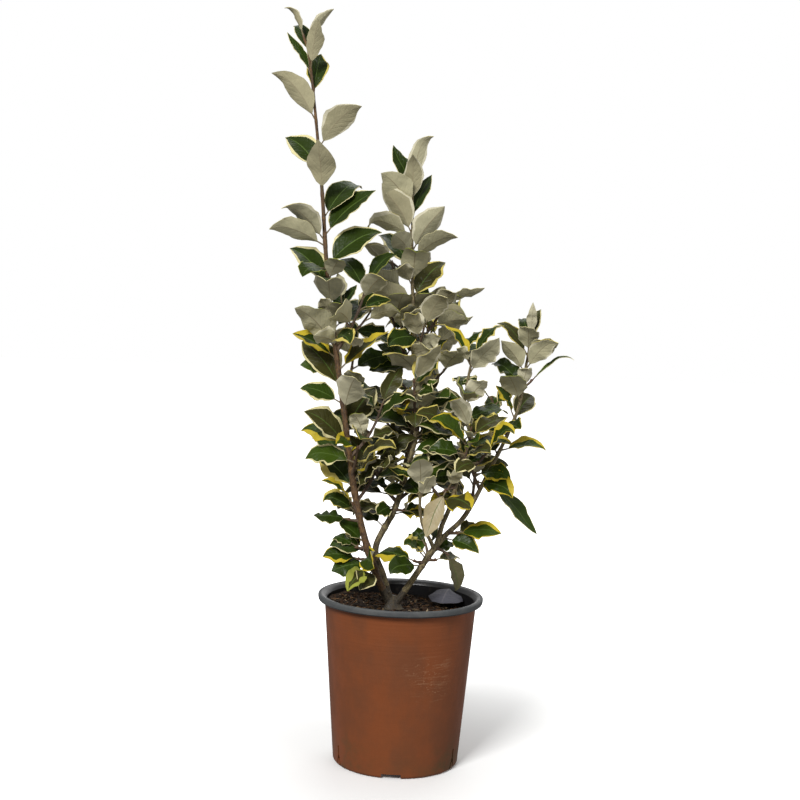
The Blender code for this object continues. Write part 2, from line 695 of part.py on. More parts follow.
def make_compost():
    """The compost, a fine gap clear of the pot's inside."""
    floor = POT_FLOOR + GAP
    low = wall_radius(0) - CORNER_RADIUS - 2 * GAP
    knee = (wall_radius(FLOOR_TOP) - POT_WALL - 2 * GAP, FLOOR_TOP + GAP)
    rim = wall_radius(GROUND) - POT_WALL - 2 * GAP
    top = [(rim * (1 - i / COMPOST_RINGS), GROUND) for i in range(COMPOST_RINGS + 1)]
    mesh = spin_profile("compost", [(0, floor), (low, floor), knee] + top, POT_SEGMENTS)
    chance = random.Random(COMPOST_SEED)
    for vertex in mesh.vertices:
        x, y, z = vertex.co
        if z > GROUND - 1 * MM:
            away = math.hypot(x - FOOT_CENTRE[0], y - FOOT_CENTRE[1])
            bump = chance.uniform(-1, 1) * COMPOST_BUMP if away > COMPOST_LEVEL_RADIUS else 0
            edge = math.hypot(x, y) > rim - 1 * MM
            vertex.co.z = compost_height(x, y) + (0 if edge else bump)
    add_object("compost", mesh, COMPOST)


def make_foot(shoots):
    """The foot: a flared stool cut flat at the ground, with an arm into each stem and a pruned stub."""
    x, y = FOOT_CENTRE
    ground = GROUND + GAP
    rings = []
    turns = [math.tau * k / FOOT_SIDES for k in range(FOOT_SIDES)]
    for share in (0, 0.25, 0.55, 0.8, 1):
        size = blend(FOOT_FLARE, FOOT_WAIST, min(1, share * 1.6) ** 0.6) if share < 1 else FOOT_WAIST * 0.55
        ring = []
        for turn in turns:
            lobe = size * (1 + FOOT_LOBE * (1 - share) * math.cos(3 * turn + 0.6))
            ring.append(Vector((x + lobe * math.cos(turn), y + lobe * math.sin(turn),
                                ground + FOOT_HEIGHT * share)))
        rings.append(ring)
    bodies = [ring_mesh("foot", rings)]
    for name, shoot in shoots:
        bodies.append(ring_mesh(name + "_arm", shoot.rings(3 * MM, FOOT_ARM, BOUGH_RINGS)))
    middle = Vector((x, y, ground + FOOT_HEIGHT * 0.5))
    tip = middle + flat_direction(*STUB_HEADING) * STUB_LENGTH
    stub = Shoot(Path((middle, tip)), STUB_RADIUS, STUB_RADIUS * 0.8)
    bodies.append(ring_mesh("stub", stub.rings(0, STUB_LENGTH, STEM_RINGS)))
    fuse("foot", bodies, BARK)


def make_limb(name, rings):
    add_object(name, ring_mesh(name, rings), BARK)


def grow_plant():
    """Works out every stem, then its leaves, and builds the foot, the boughs and the masses."""
    taken = Taken()
    shoots = {}
    planned = []
    for stem in STEMS:
        shoot = Shoot(Path(metres(stem.route)), stem.radii[0] * MM, stem.radii[1] * MM)
        shoots[stem.bough] = shoot
        start = FOOT_ARM + GAP
        bough, masses = split_stem(stem, shoot, start, taken)
        make_limb(stem.bough, shoot.rings(bough[0], bough[1], BOUGH_RINGS))
        planned.append((stem.growth, shoot, masses))
    main_shoots = list(shoots.items())
    for branch in BRANCHES:
        stem = branch.stem
        parent = shoots[branch.parent]
        fork = parent.path.at_height(branch.height * MM)
        route = [parent.path.at(fork)] + metres(stem.route)
        shoot = Shoot(Path(route), stem.radii[0] * MM, stem.radii[1] * MM)
        shoots[stem.bough] = shoot
        bough, masses = split_stem(stem, shoot, parent.radius(fork) + ROOT_CLEAR, taken)
        make_limb(stem.bough, seated_rings(shoot, bough[0], bough[1], BOUGH_RINGS, parent))
        planned.append((stem.growth, shoot, masses))
    for side in SIDES:
        planned.append(plan_side(side, shoots[side.parent], taken))
    everything = []
    for growth, shoot, masses in planned:
        grow_leaves(shoot, masses, growth, taken)
        everything += masses
    make_foot(main_shoots)
    for mass in everything:
        bodies = [ring_mesh(mass.name, mass.stem_rings())]
        bodies += [ring_mesh("%s_%d" % (mass.name, i), body) for i, body in enumerate(mass.bodies)]
        fuse(mass.name, bodies, FOLIAGE)


def plan_side(side, parent, taken):
    """A side shoot's line, seated on its parent, as one mass of leaves."""
    fork = parent.path.at_height(side.height * MM)
    root = parent.path.at(fork)
    points = [root]
    for i in range(SIDE_STEPS):
        lift = blend(*side.rise, (i + 0.5) / SIDE_STEPS)
        points.append(points[-1] + flat_direction(side.azimuth, lift) * side.length * MM / SIDE_STEPS)
    foot_radius, tip_radius = SIDE_RADII
    shoot = Shoot(Path(points), min(foot_radius, parent.radius(fork) * SIDE_SHARE), tip_radius)
    start = parent.radius(fork) + ROOT_CLEAR
    mass = Mass(side.name, shoot, start, shoot.path.length)
    mass.parent = parent
    taken.add(side.name, mass.stem_rings())
    growth = Growth(side.top_azimuth, SIDE_INTERNODES, 1, (side.leaf * SIDE_TIP_LEAF, side.leaf),
                    (side.leaf_rise, min(0, side.leaf_rise)), SIDE_TWIGS, side.seed, side.width)
    return growth, shoot, [mass]


def main():
    for obj in list(bpy.data.objects):
        bpy.data.objects.remove(obj)
    make_pot()
    make_compost()
    grow_plant()


main()
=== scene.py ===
# %% [markdown]
# # Dressing a potted elaeagnus
# The plant already exists as plain solids: a pot, its compost, a forked foot, six stems and many masses
# of leaves. This lesson puts the real surfaces over them: wavy variegated leaves, streaked bark, a
# rolled plastic lip and loose bark chips. The solids are loaded first, because every piece has to lie
# where they are, and their box is kept so that the dressed plant can be compared with it at the end.

# %% Load the solids
import json
import math
import random
from collections import namedtuple

import bmesh
import bpy
from mathutils import Matrix, Vector, noise
from mathutils.bvhtree import BVHTree
from mathutils.geometry import interpolate_bezier

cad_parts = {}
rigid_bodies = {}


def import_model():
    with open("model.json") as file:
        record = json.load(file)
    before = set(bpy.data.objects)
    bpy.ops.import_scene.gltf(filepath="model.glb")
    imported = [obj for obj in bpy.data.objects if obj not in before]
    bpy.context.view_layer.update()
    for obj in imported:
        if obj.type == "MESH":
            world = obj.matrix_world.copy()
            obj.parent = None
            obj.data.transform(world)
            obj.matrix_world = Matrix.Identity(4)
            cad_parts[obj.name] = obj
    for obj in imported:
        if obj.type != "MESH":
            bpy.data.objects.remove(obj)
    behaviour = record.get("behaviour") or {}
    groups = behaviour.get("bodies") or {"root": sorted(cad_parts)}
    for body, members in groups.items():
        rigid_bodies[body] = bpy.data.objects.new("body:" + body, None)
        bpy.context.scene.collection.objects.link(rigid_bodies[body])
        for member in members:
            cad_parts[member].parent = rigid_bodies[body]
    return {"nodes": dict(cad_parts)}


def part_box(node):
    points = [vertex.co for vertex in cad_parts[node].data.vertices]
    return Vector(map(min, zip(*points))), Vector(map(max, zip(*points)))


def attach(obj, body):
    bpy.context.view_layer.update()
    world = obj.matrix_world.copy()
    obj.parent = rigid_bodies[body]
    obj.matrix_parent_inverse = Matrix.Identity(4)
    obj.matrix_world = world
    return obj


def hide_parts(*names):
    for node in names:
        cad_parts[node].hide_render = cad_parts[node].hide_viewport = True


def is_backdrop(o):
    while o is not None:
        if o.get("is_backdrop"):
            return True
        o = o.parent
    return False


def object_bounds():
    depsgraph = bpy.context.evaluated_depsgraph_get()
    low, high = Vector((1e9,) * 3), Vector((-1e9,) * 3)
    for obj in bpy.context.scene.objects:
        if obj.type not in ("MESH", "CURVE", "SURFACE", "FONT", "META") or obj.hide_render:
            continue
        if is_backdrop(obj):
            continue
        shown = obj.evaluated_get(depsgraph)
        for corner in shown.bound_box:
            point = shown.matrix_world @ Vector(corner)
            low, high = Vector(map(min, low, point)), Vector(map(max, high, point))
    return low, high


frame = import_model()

MM = 0.001
SOLID_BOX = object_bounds()
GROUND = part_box("foot")[0].z
print("solids", len(frame["nodes"]), "box", [tuple(round(v, 3) for v in corner) for corner in SOLID_BOX])

# %% [markdown]
# The camera stands where the photo was taken from: a metre and a half in front of the pot, at the height
# of the crown, looking very slightly down, with the picture turned two degrees clockwise. Blender's
# lens is a length in millimetres on a sensor 36 mm wide, so it is worked out from the focal length in
# pixels. The three axes of the camera are built by hand, because a roll is easy to get wrong by angles.

# %% Set up the camera
PHOTO_PIXELS = 800
FOCAL_PIXELS = 1314
SENSOR_MM = 36
CAMERA_AT = Vector((0, -1.5, 0.5047))
CAMERA_DOWN = math.radians(3.35)
CAMERA_TURN = math.radians(-0.33)
CAMERA_ROLL = math.radians(2.02)


def aim_camera():
    """Adds the camera with the photo's view, and makes it the scene's own."""
    forward = Vector((math.sin(CAMERA_TURN) * math.cos(CAMERA_DOWN),
                      math.cos(CAMERA_TURN) * math.cos(CAMERA_DOWN), -math.sin(CAMERA_DOWN)))
    level = Vector((math.cos(CAMERA_TURN), -math.sin(CAMERA_TURN), 0))
    upward = level.cross(forward)
    right = level * math.cos(CAMERA_ROLL) + upward * math.sin(CAMERA_ROLL)
    top = upward * math.cos(CAMERA_ROLL) - level * math.sin(CAMERA_ROLL)
    lens = bpy.data.cameras.new("photo_camera")
    lens.sensor_width = SENSOR_MM
    lens.lens = SENSOR_MM * FOCAL_PIXELS / PHOTO_PIXELS
    camera = bpy.data.objects.new("photo_camera", lens)
    turned = Matrix((right, top, -forward)).transposed().to_4x4()
    turned.translation = CAMERA_AT
    camera.matrix_world = turned
    bpy.context.scene.collection.objects.link(camera)
    bpy.context.scene.camera = camera
    return camera


camera = aim_camera()
print("lens", round(camera.data.lens, 1), "mm at", tuple(round(v, 2) for v in camera.location))

# %% [markdown]
# A shader is a small sum worked out at every point of a surface. Nodes that are wired one by one get
# long and hard to read. So one class wraps a node's output, and Python's own signs add the Math nodes.

# %% Write shader sums as Python
class Wire:
    """One output of a shader node. Sums of wires and numbers add Math nodes."""

    def __init__(self, finish, socket):
        self.finish = finish
        self.socket = socket

    def maths(self, operation, *others):
        """Adds a Math node that starts with this wire."""
        return self.finish.node("ShaderNodeMath", {"operation": operation}, dict(enumerate((self, *others))))

    def __add__(self, other):
        return self.maths("ADD", other)

    def __sub__(self, other):
        return self.maths("SUBTRACT", other)

    def __rsub__(self, other):
        return self.maths("MULTIPLY_ADD", -1, other)

    def __mul__(self, other):
        return self.maths("MULTIPLY", other)

    __radd__ = __add__
    __rmul__ = __mul__

    def steps(self, low, high):
        """Runs smoothly from 0 to 1 as the wire runs from low to high."""
        return self.finish.node("ShaderNodeMapRange", {"interpolation_type": "SMOOTHSTEP"},
                                {"Value": self, "From Min": low, "From Max": high})


print("plus, minus and times now add Math nodes")

# %% [markdown]
# A finish holds a material while it is made. Anything that is the same all over a piece is set on the
# shader itself, and nodes are kept for what really changes over the surface. All nodes come through one
# method, which takes a node's settings first and then what its sockets get.

# %% Hold a material while it is made
class Finish:
    """A material under way, with its node tree and its shader."""

    def __init__(self, name, colour, roughness=0.5, **constants):
        self.material = bpy.data.materials.new(name)
        self.material.use_nodes = True
        self.material.diffuse_color = (*colour, 1)
        self.tree = self.material.node_tree
        self.shader = self.tree.nodes["Principled BSDF"]
        self.feed(self.shader.inputs["Base Color"], (*colour, 1))
        self.feed(self.shader.inputs["Roughness"], roughness)
        for socket, value in constants.items():
            self.feed(self.shader.inputs[socket.replace("_", " ")], value)

    def feed(self, socket, value):
        """Links a wire to a socket, or sets a plain value on it."""
        if isinstance(value, Wire):
            self.tree.links.new(value.socket, socket)
        else:
            socket.default_value = value

    def node(self, kind, settings, sockets, output=0):
        """Adds any node: its settings first, then the values or wires of its sockets."""
        node = self.tree.nodes.new(kind)
        for name, value in settings.items():
            setattr(node, name, value)
        for name, value in sockets.items():
            self.feed(node.inputs[name], value)
        return Wire(self, node.outputs[output])

    def shade(self, socket, value):
        """Feeds one of the shader's own sockets."""
        self.feed(self.shader.inputs[socket], value)

    def place(self, stretch=(1, 1, 1)):
        """Object coordinates, stretched along each axis."""
        here = self.node("ShaderNodeTexCoord", {}, {}, "Object")
        return self.node("ShaderNodeVectorMath", {"operation": "MULTIPLY"}, {0: here, 1: stretch})

    def along(self, attribute, stretch=(1, 1, 1)):
        """A mesh's own attribute, which follows its surface, stretched in the same way."""
        here = self.node("ShaderNodeAttribute", {"attribute_name": attribute}, {}, "Vector")
        return self.node("ShaderNodeVectorMath", {"operation": "MULTIPLY"}, {0: here, 1: stretch})

    def cloud(self, where, scale, detail=3, roughness=0.5):
        """Noise between about 0.3 and 0.7, with its details a few sizes smaller."""
        return self.node("ShaderNodeTexNoise", {},
                         {"Vector": where, "Scale": scale, "Detail": detail, "Roughness": roughness})

    def part(self, vector, axis):
        """One axis of a vector."""
        return self.node("ShaderNodeSeparateXYZ", {}, {"Vector": vector}, axis)

    def mix(self, share, one, two):
        """A colour between two others."""
        ends = [value if isinstance(value, Wire) else (*value, 1) for value in (one, two)]
        return self.node("ShaderNodeMix", {"data_type": "RGBA"}, {0: share, 6: ends[0], 7: ends[1]}, 2)

    def relief(self, height, depth, strength=1.0):
        """Bumps the surface by a height between 0 and 1, times a depth in metres."""
        self.shade("Normal", self.node("ShaderNodeBump", {}, {"Height": height, "Distance": depth,
                                                              "Strength": strength}))


print("a finish can make", [name for name in vars(Finish) if not name.startswith("_")])

# %% [markdown]
# The pot is thin plastic in two layers, formed over a mould: brick-coloured outside, black inside, and
# a blue-grey lip where the two meet. It has stood outdoors, so the wall carries dull patches, faint
# rings from the forming, pale scuffs where other pots rubbed it, and olive dirt near the ground. That
# olive is laid on more thickly at the wall's left and right sides, which is painted shade. All of these
# are noise at different scales, laid over one another, and none of them needs an image.

# %% Finish the pot's plastic
BRICK = (0.182, 0.051, 0.0155)
BRICK_DULL = (0.142, 0.045, 0.0165)
DIRT_AND_SHADE = (0.085, 0.048, 0.018)
DIRT_AND_SHADE_HEIGHT = (0.004, 0.062)
SIDE_SHADE_RANGE = (0.018, 0.062)
SCUFF = (0.32, 0.17, 0.09)
SCUFF_PLACE = (0.042, -0.075, 0.115)
SCUFF_REACH = (0.030, 0.066)
RINGED_ABOVE = (0.10, 0.17)
LIP_GREY = (0.060, 0.064, 0.066)
LIP_DUST = (0.104, 0.106, 0.103)
INSIDE_BLACK = (0.014, 0.014, 0.015)
COMPOST_DUST = (0.06, 0.042, 0.028)


def brick_plastic():
    """The outside of the wall."""
    finish = Finish("pot_brick_plastic", BRICK, 0.5, Specular_IOR_Level=0.22)
    place = finish.place()
    height = finish.part(place, "Z")
    patches = finish.cloud(finish.place((22, 22, 12)), 1.0, 4, 0.6).steps(0.38, 0.66)
    wall = finish.mix(patches, BRICK, BRICK_DULL)
    low = 1 - height.steps(*DIRT_AND_SHADE_HEIGHT)
    spread = finish.cloud(place, 42, 5, 0.65).steps(0.36, 0.68)
    # Olive dirt near the ground, laid on more thickly towards the left and right sides as painted shade.
    aside = finish.part(place, "X").maths("ABSOLUTE").steps(*SIDE_SHADE_RANGE)
    wall = finish.mix(low * spread * (aside * 0.75 + 0.2), wall, DIRT_AND_SHADE)
    streaks = finish.cloud(finish.place((30, 30, 260)), 1.0, 5, 0.75).steps(0.53, 0.64)
    away = finish.node("ShaderNodeVectorMath", {"operation": "DISTANCE"}, {0: place, 1: SCUFF_PLACE}, 1)
    rubbed = 1 - (away + finish.cloud(place, 60, 3) * 0.05).steps(*SCUFF_REACH)
    specks = finish.cloud(finish.place((260, 260, 520)), 1.0, 4, 0.75).steps(0.57, 0.66)
    wall = finish.mix(streaks * rubbed * 0.38, wall, SCUFF)
    wall = finish.mix(specks * rubbed * 0.65, wall, SCUFF)
    finish.shade("Base Color", wall)
    finish.shade("Roughness", patches * 0.14 + 0.45)
    rings = finish.cloud(finish.place((3, 3, 240)), 1.0, 2) * (height.steps(*RINGED_ABOVE) * 0.9 + 0.35)
    grain = finish.cloud(place, 900, 2)
    dents = finish.cloud(place, 34, 2)
    finish.relief(rings * 0.5 + grain * 0.12 + dents * 1.6, 0.8 * MM, 0.7)
    return finish


def lip_plastic():
    """The rolled lip, scratched and a little dusty."""
    finish = Finish("pot_lip_plastic", LIP_GREY, 0.6, Specular_IOR_Level=0.25)
    dust = finish.cloud(finish.place(), 60, 5, 0.65).steps(0.40, 0.68)
    finish.shade("Base Color", finish.mix(dust * 0.6, LIP_GREY, LIP_DUST))
    finish.shade("Roughness", dust * 0.2 + 0.55)
    finish.relief(finish.cloud(finish.place(), 700, 2), 0.15 * MM, 0.5)
    return finish


def inner_plastic():
    """The black layer inside, with splashes of compost dust."""
    finish = Finish("pot_inner_plastic", INSIDE_BLACK, 0.5)
    dust = finish.cloud(finish.place(), 120, 5, 0.7).steps(0.52, 0.72)
    finish.shade("Base Color", finish.mix(dust * 0.6, INSIDE_BLACK, COMPOST_DUST))
    finish.shade("Roughness", dust * 0.4 + 0.35)
    return finish


POT_FINISHES = [brick_plastic(), lip_plastic(), inner_plastic()]
print("pot finishes", [finish.material.name for finish in POT_FINISHES])

# %% [markdown]
# The pot's shape is one outline turned round its axis, much as the real one comes off its mould. The
# outline starts in the middle of the underside, goes up the wall, rolls over the lip and comes back down
# inside. It is a list of radii and heights, so the rolled lip is only an arc of a few points. The wall's
# taper is a sum of its own, because the compost needs it too.

# %% Draw the pot's outline
POT_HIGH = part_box("pot")[1]
POT_HEIGHT = POT_HIGH.z
LIP_RADIUS = POT_HIGH.x
LIP_DEPTH = 8.5 * MM
LIP_TOP = 3.6 * MM
LIP_EDGE = POT_HEIGHT - LIP_DEPTH + 2.4 * MM
LIP_ROLL = 1.8 * MM
NECK_RADIUS = LIP_RADIUS - 7.8 * MM
BASE_RADIUS = 72.3 * MM
CORNER_RADIUS = 4 * MM
POT_WALL = 1.6 * MM
POT_FLOOR = 4.8 * MM


def wall_radius(height):
    """The pot's outer radius on its straight wall."""
    share = (height - CORNER_RADIUS) / (POT_HEIGHT - LIP_DEPTH - CORNER_RADIUS)
    return BASE_RADIUS + (NECK_RADIUS - BASE_RADIUS) * share


def arc(centre, radius, start, end, steps):
    """Points of an arc in the outline's plane, by its angles in degrees."""
    turns = [math.radians(start + (end - start) * i / steps) for i in range(steps + 1)]
    return [(centre[0] + radius * math.cos(a), centre[1] + radius * math.sin(a)) for a in turns]


def pot_outline():
    """The outline as radius and height: underside, wall, rolled lip, and down inside to the floor."""
    neck = POT_HEIGHT - LIP_DEPTH
    corner = (BASE_RADIUS - CORNER_RADIUS, CORNER_RADIUS)
    foot = [(0, 0), (BASE_RADIUS - 12 * MM, 0)] + arc(corner, CORNER_RADIUS, -90, 0, 6)
    wall = [(wall_radius(neck * share), neck * share) for share in (0.3, 0.6, 0.9, 0.985)]
    # Under the lip: the roll's underside, then a thin band at its lower edge that is coloured black as a
    # painted shadow line.
    under = [(NECK_RADIUS, neck), (LIP_RADIUS - 4.6 * MM, neck + 0.6 * MM),
             (LIP_RADIUS - LIP_ROLL, neck + 1.1 * MM), (LIP_RADIUS - 1.2 * MM, neck + 1.5 * MM),
             (LIP_RADIUS - 1.0 * MM, LIP_EDGE)]
    face = [(LIP_RADIUS - 0.5 * MM, LIP_EDGE + 0.3 * MM), (LIP_RADIUS - 0.1 * MM, neck + 4.6 * MM)]
    roll = face + arc((LIP_RADIUS - LIP_ROLL, POT_HEIGHT - LIP_ROLL), LIP_ROLL, 0, 90, 5)
    inside = [(LIP_RADIUS - LIP_TOP, POT_HEIGHT - 0.1 * MM), (NECK_RADIUS + 0.8 * MM, POT_HEIGHT - 1.2 * MM),
              (NECK_RADIUS - 1.4 * MM, POT_HEIGHT - 3.2 * MM), (NECK_RADIUS - 2.6 * MM, neck + 3 * MM),
              (wall_radius(neck) - POT_WALL, neck), (wall_radius(8 * MM) - POT_WALL, 8 * MM),
              (BASE_RADIUS - 8 * MM, POT_FLOOR), (0, POT_FLOOR)]
    return foot + wall + under + roll + inside


print("outline points", len(pot_outline()))

# %% [markdown]
# Bmesh's spin turns the outline into a shell, and each strip of faces gets its plastic by where it lies.
# One helper puts this piece and all the later ones in place: it makes an object, gives it its finishes,
# smooths it but for its sharp edges, and hides the solids it takes the place of.

# %% Turn the outline into the pot
POT_SEGMENTS = 120
POT_WELD = 0.01 * MM
SHARP_ANGLE = 40


def plastic_at(point):
    """Which plastic shows at a point of the pot: 0 brick, 1 the lip's grey, 2 the black inside. The black
    also covers the thin band at the lip's lower edge, where it is a painted shadow line under the lip.
    """
    radius = math.hypot(point.x, point.y)
    if point.z > POT_HEIGHT - LIP_DEPTH and radius > NECK_RADIUS:
        # Below LIP_EDGE the lip is black: the inner layer under the roll, and on the thin band at its lower
        # edge a painted shadow line.
        return 1 if radius > LIP_RADIUS - LIP_TOP and point.z > LIP_EDGE else 2
    if point.z > POT_FLOOR * 0.9 and radius < wall_radius(point.z) - POT_WALL / 2:
        return 2
    return 0


def turned(outline, segments):
    """A bmesh of the outline turned about Z."""
    bm = bmesh.new()
    verts = [bm.verts.new((radius, 0, height)) for radius, height in outline]
    edges = [bm.edges.new(pair) for pair in zip(verts, verts[1:])]
    bmesh.ops.spin(bm, geom=verts + edges, cent=(0, 0, 0), axis=(0, 0, 1), angle=math.tau,
                   steps=segments, use_merge=True)
    bmesh.ops.remove_doubles(bm, verts=bm.verts, dist=POT_WELD)
    bmesh.ops.recalc_face_normals(bm, faces=bm.faces)
    return bm


def smooth(mesh, sharp):
    """Shades a mesh smooth, but for its edges sharper than an angle."""
    mesh.shade_smooth()
    mesh.set_sharp_from_angle(angle=math.radians(sharp))


def dress(name, bm, finishes, nodes=(), sharp=SHARP_ANGLE):
    """Makes a piece of a bmesh, with its finishes, and puts it in place of some solids."""
    mesh = bpy.data.meshes.new(name)
    bm.to_mesh(mesh)
    bm.free()
    piece = bpy.data.objects.new(name, mesh)
    bpy.context.scene.collection.objects.link(piece)
    for finish in finishes:
        mesh.materials.append(finish.material)
    smooth(mesh, sharp)
    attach(piece, "root")
    if nodes:
        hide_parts(*nodes)
    print(name, len(mesh.polygons), "faces")
    return piece


shell = turned(pot_outline(), POT_SEGMENTS)
for face in shell.faces:
    face.material_index = plastic_at(face.calc_center_median())
pot = dress("pot_shell", shell, POT_FINISHES, ["pot"])

# %% [markdown]
# Water drains out through openings round the pot's lower corner: low arches in the bottom edge, and
# narrow slits that split in two. Plain blocks cut them. One Boolean takes all the blocks as a collection,
# and it is applied at once, because a piece has to be whole before it is measured.

# %% Cut the drainage openings
ARCH_ANGLES = (267, 27, 147)
SLIT_ANGLES = (209, 333, 90)
ARCH_BLOCK = (36 * MM, 22 * MM, 11 * MM)
SLIT_BLOCK = (9 * MM, 2.8 * MM, 15 * MM)
SLIT_HEIGHT = 17 * MM
LEG_BLOCK = (9 * MM, 2.2 * MM, 10 * MM)
LEG_HEIGHT = 7.2 * MM
LEG_ASIDE = 2.4 * MM
LEG_LEAN = 17


def block(size, angle, aside=0, height=0, lean=0):
    """A cutting block as a mesh, standing across the pot's lower corner at an angle round it."""
    bm = bmesh.new()
    bmesh.ops.create_cube(bm, size=1, matrix=Matrix.Diagonal((*size, 1)))
    tipped = Matrix.Translation((BASE_RADIUS, aside, height)) @ Matrix.Rotation(math.radians(lean), 4, "X")
    bmesh.ops.transform(bm, matrix=Matrix.Rotation(math.radians(angle), 4, "Z") @ tipped, verts=bm.verts)
    mesh = bpy.data.meshes.new("cutter")
    bm.to_mesh(mesh)
    bm.free()
    return mesh


def drain_cutters():
    """The blocks for every opening: one for an arch, and a slit with two spread legs."""
    cutters = [block(ARCH_BLOCK, angle) for angle in ARCH_ANGLES]
    for angle in SLIT_ANGLES:
        cutters.append(block(SLIT_BLOCK, angle, 0, SLIT_HEIGHT))
        for way in (-1, 1):
            cutters.append(block(LEG_BLOCK, angle, way * LEG_ASIDE, LEG_HEIGHT, way * LEG_LEAN))
    return cutters


def cut(target, cutters, sharp):
    """Cuts the meshes out of an object by one Boolean on their collection, and applies it."""
    group = bpy.data.collections.new("cutters")
    for mesh in cutters:
        group.objects.link(bpy.data.objects.new("cutter", mesh))
    modifier = target.modifiers.new("cut", "BOOLEAN")
    modifier.operand_type = "COLLECTION"
    modifier.collection = group
    modifier.solver = "EXACT"
    mesh = bpy.data.meshes.new_from_object(target.evaluated_get(bpy.context.evaluated_depsgraph_get()))
    target.modifiers.clear()
    target.data = mesh
    mesh.name = target.name
    for obj in list(group.objects):
        bpy.data.objects.remove(obj)
    bpy.data.collections.remove(group)
    smooth(mesh, sharp)


cut(pot, drain_cutters(), SHARP_ANGLE)
print("pot openings", len(ARCH_ANGLES + SLIT_ANGLES))

# %% [markdown]
# The compost is composted bark, dark and crumbly, and heaped up a little against the wall on the left. A
# flat grid is pressed into a disc, raised and lowered by noise, and turned down at its edge. The slope
# under the noise is the solid's own, so that the dressed surface lies where the solid's does.

# %% Finish and lay the compost
COMPOST_SLOPE = 0.055
COMPOST_LEVEL_RADIUS = 26 * MM
COMPOST_SLOPE_WIDTH = 30 * MM
HEAP = 7 * MM
FOOT_CENTRE = Vector((-9 * MM, 0, 0))
COMPOST_CELLS = 72
COMPOST_SKIRT = 14 * MM
COMPOST_SHARP = 180
SOIL_COLOURS = ((0.005, 0.003, 0.002), (0.040, 0.021, 0.010))
FIBRE_COLOUR = (0.120, 0.070, 0.030)


def compost_height(x, y):
    """The solid compost's own surface, level at the foot and falling to the right."""
    away = math.hypot(x - FOOT_CENTRE.x, y - FOOT_CENTRE.y)
    share = min(1, max(0, (away - COMPOST_LEVEL_RADIUS) / COMPOST_SLOPE_WIDTH))
    return GROUND - COMPOST_SLOPE * (x - FOOT_CENTRE.x) * share


def crumbled(x, y):
    """The compost's surface with its lumps and hollows, heaped up against the wall on the left."""
    here = Vector((x, y, 0))
    heap = HEAP * max(0, -x / wall_radius(GROUND) - 0.2) ** 1.5
    lumps = noise.fractal(here * 55, 1.0, 2.0, 3) * 2.2 * MM
    grit = noise.fractal(here * 260, 0.8, 2.0, 3) * 0.9 * MM
    return compost_height(x, y) - 0.6 * MM + lumps + grit + heap


def compost_finish():
    """Dark damp crumbs with lighter fibres in them."""
    finish = Finish("bark_compost", (0.030, 0.018, 0.010), 0.95, Specular_IOR_Level=0.15)
    place = finish.place()
    clods = finish.cloud(place, 130, 5, 0.7).steps(0.40, 0.64)
    fibre = finish.cloud(place, 620, 4, 0.7).steps(0.55, 0.70)
    finish.shade("Base Color", finish.mix(fibre * 0.5, finish.mix(clods, *SOIL_COLOURS), FIBRE_COLOUR))
    finish.shade("Roughness", 0.95 - clods * 0.15)
    finish.relief(finish.cloud(place, 480, 5, 0.7), 1.2 * MM, 0.9)
    return finish


def compost_bed():
    """A square grid pressed into a disc that just fits the pot, with its edge turned down."""
    bm = bmesh.new()
    bmesh.ops.create_grid(bm, x_segments=COMPOST_CELLS, y_segments=COMPOST_CELLS, size=1)
    rim = wall_radius(GROUND) - POT_WALL - 0.6 * MM
    for vert in bm.verts:
        u, v = vert.co.x, vert.co.y
        x = rim * u * math.sqrt(1 - v * v / 2)
        y = rim * v * math.sqrt(1 - u * u / 2)
        vert.co = (x, y, crumbled(x, y))
    edge = [edge for edge in bm.edges if edge.is_boundary]
    skirt = bmesh.ops.extrude_edge_only(bm, edges=edge)["geom"]
    low = [item for item in skirt if isinstance(item, bmesh.types.BMVert)]
    bmesh.ops.translate(bm, verts=low, vec=(0, 0, -COMPOST_SKIRT))
    bmesh.ops.holes_fill(bm, edges=[edge for edge in bm.edges if edge.is_boundary], sides=0)
    bmesh.ops.recalc_face_normals(bm, faces=bm.faces)
    return bm


dress("compost_bed", compost_bed(), [compost_finish()], ["compost"], COMPOST_SHARP)

# %% [markdown]
# Loose bits lie on the compost: splinters of bark, small lumps and a few pale husks. Bark weathers in
# several browns, so there are five, and the chips share them out. Noise roughens their sheen and relief,
# and the colour itself stays plain, because a chip is too small to show a pattern.

# %% Finish the bark chips
CHIP_COLOURS = ((0.030, 0.014, 0.006), (0.072, 0.034, 0.014), (0.150, 0.082, 0.036), (0.009, 0.006, 0.004),
                (0.085, 0.062, 0.034))
HUSK_COLOUR = (0.40, 0.31, 0.20)


def chip_finish(name, colour):
    """Dull weathered bark with a fine grain."""
    finish = Finish(name, colour, 0.85, Specular_IOR_Level=0.15)
    grain = finish.cloud(finish.place((900, 240, 240)), 1.0, 3, 0.6)
    finish.shade("Roughness", grain * 0.3 + 0.7)
    finish.relief(grain, 0.4 * MM, 0.8)
    return finish


CHIP_FINISHES = [chip_finish("bark_chip_%d" % i, colour) for i, colour in enumerate(CHIP_COLOURS)]
CHIP_FINISHES.append(chip_finish("pale_husk", HUSK_COLOUR))
print("chip finishes", [finish.material.name for finish in CHIP_FINISHES])

# %% [markdown]
# Modelling each chip would be slow, and copies of a single one would look alike. So a seeded rule throws
# on hundreds of cheap shapes, each of its own size, sunk a little into the surface and tipped its own
# way. They are all one mesh, because hundreds of objects would be slow to handle.

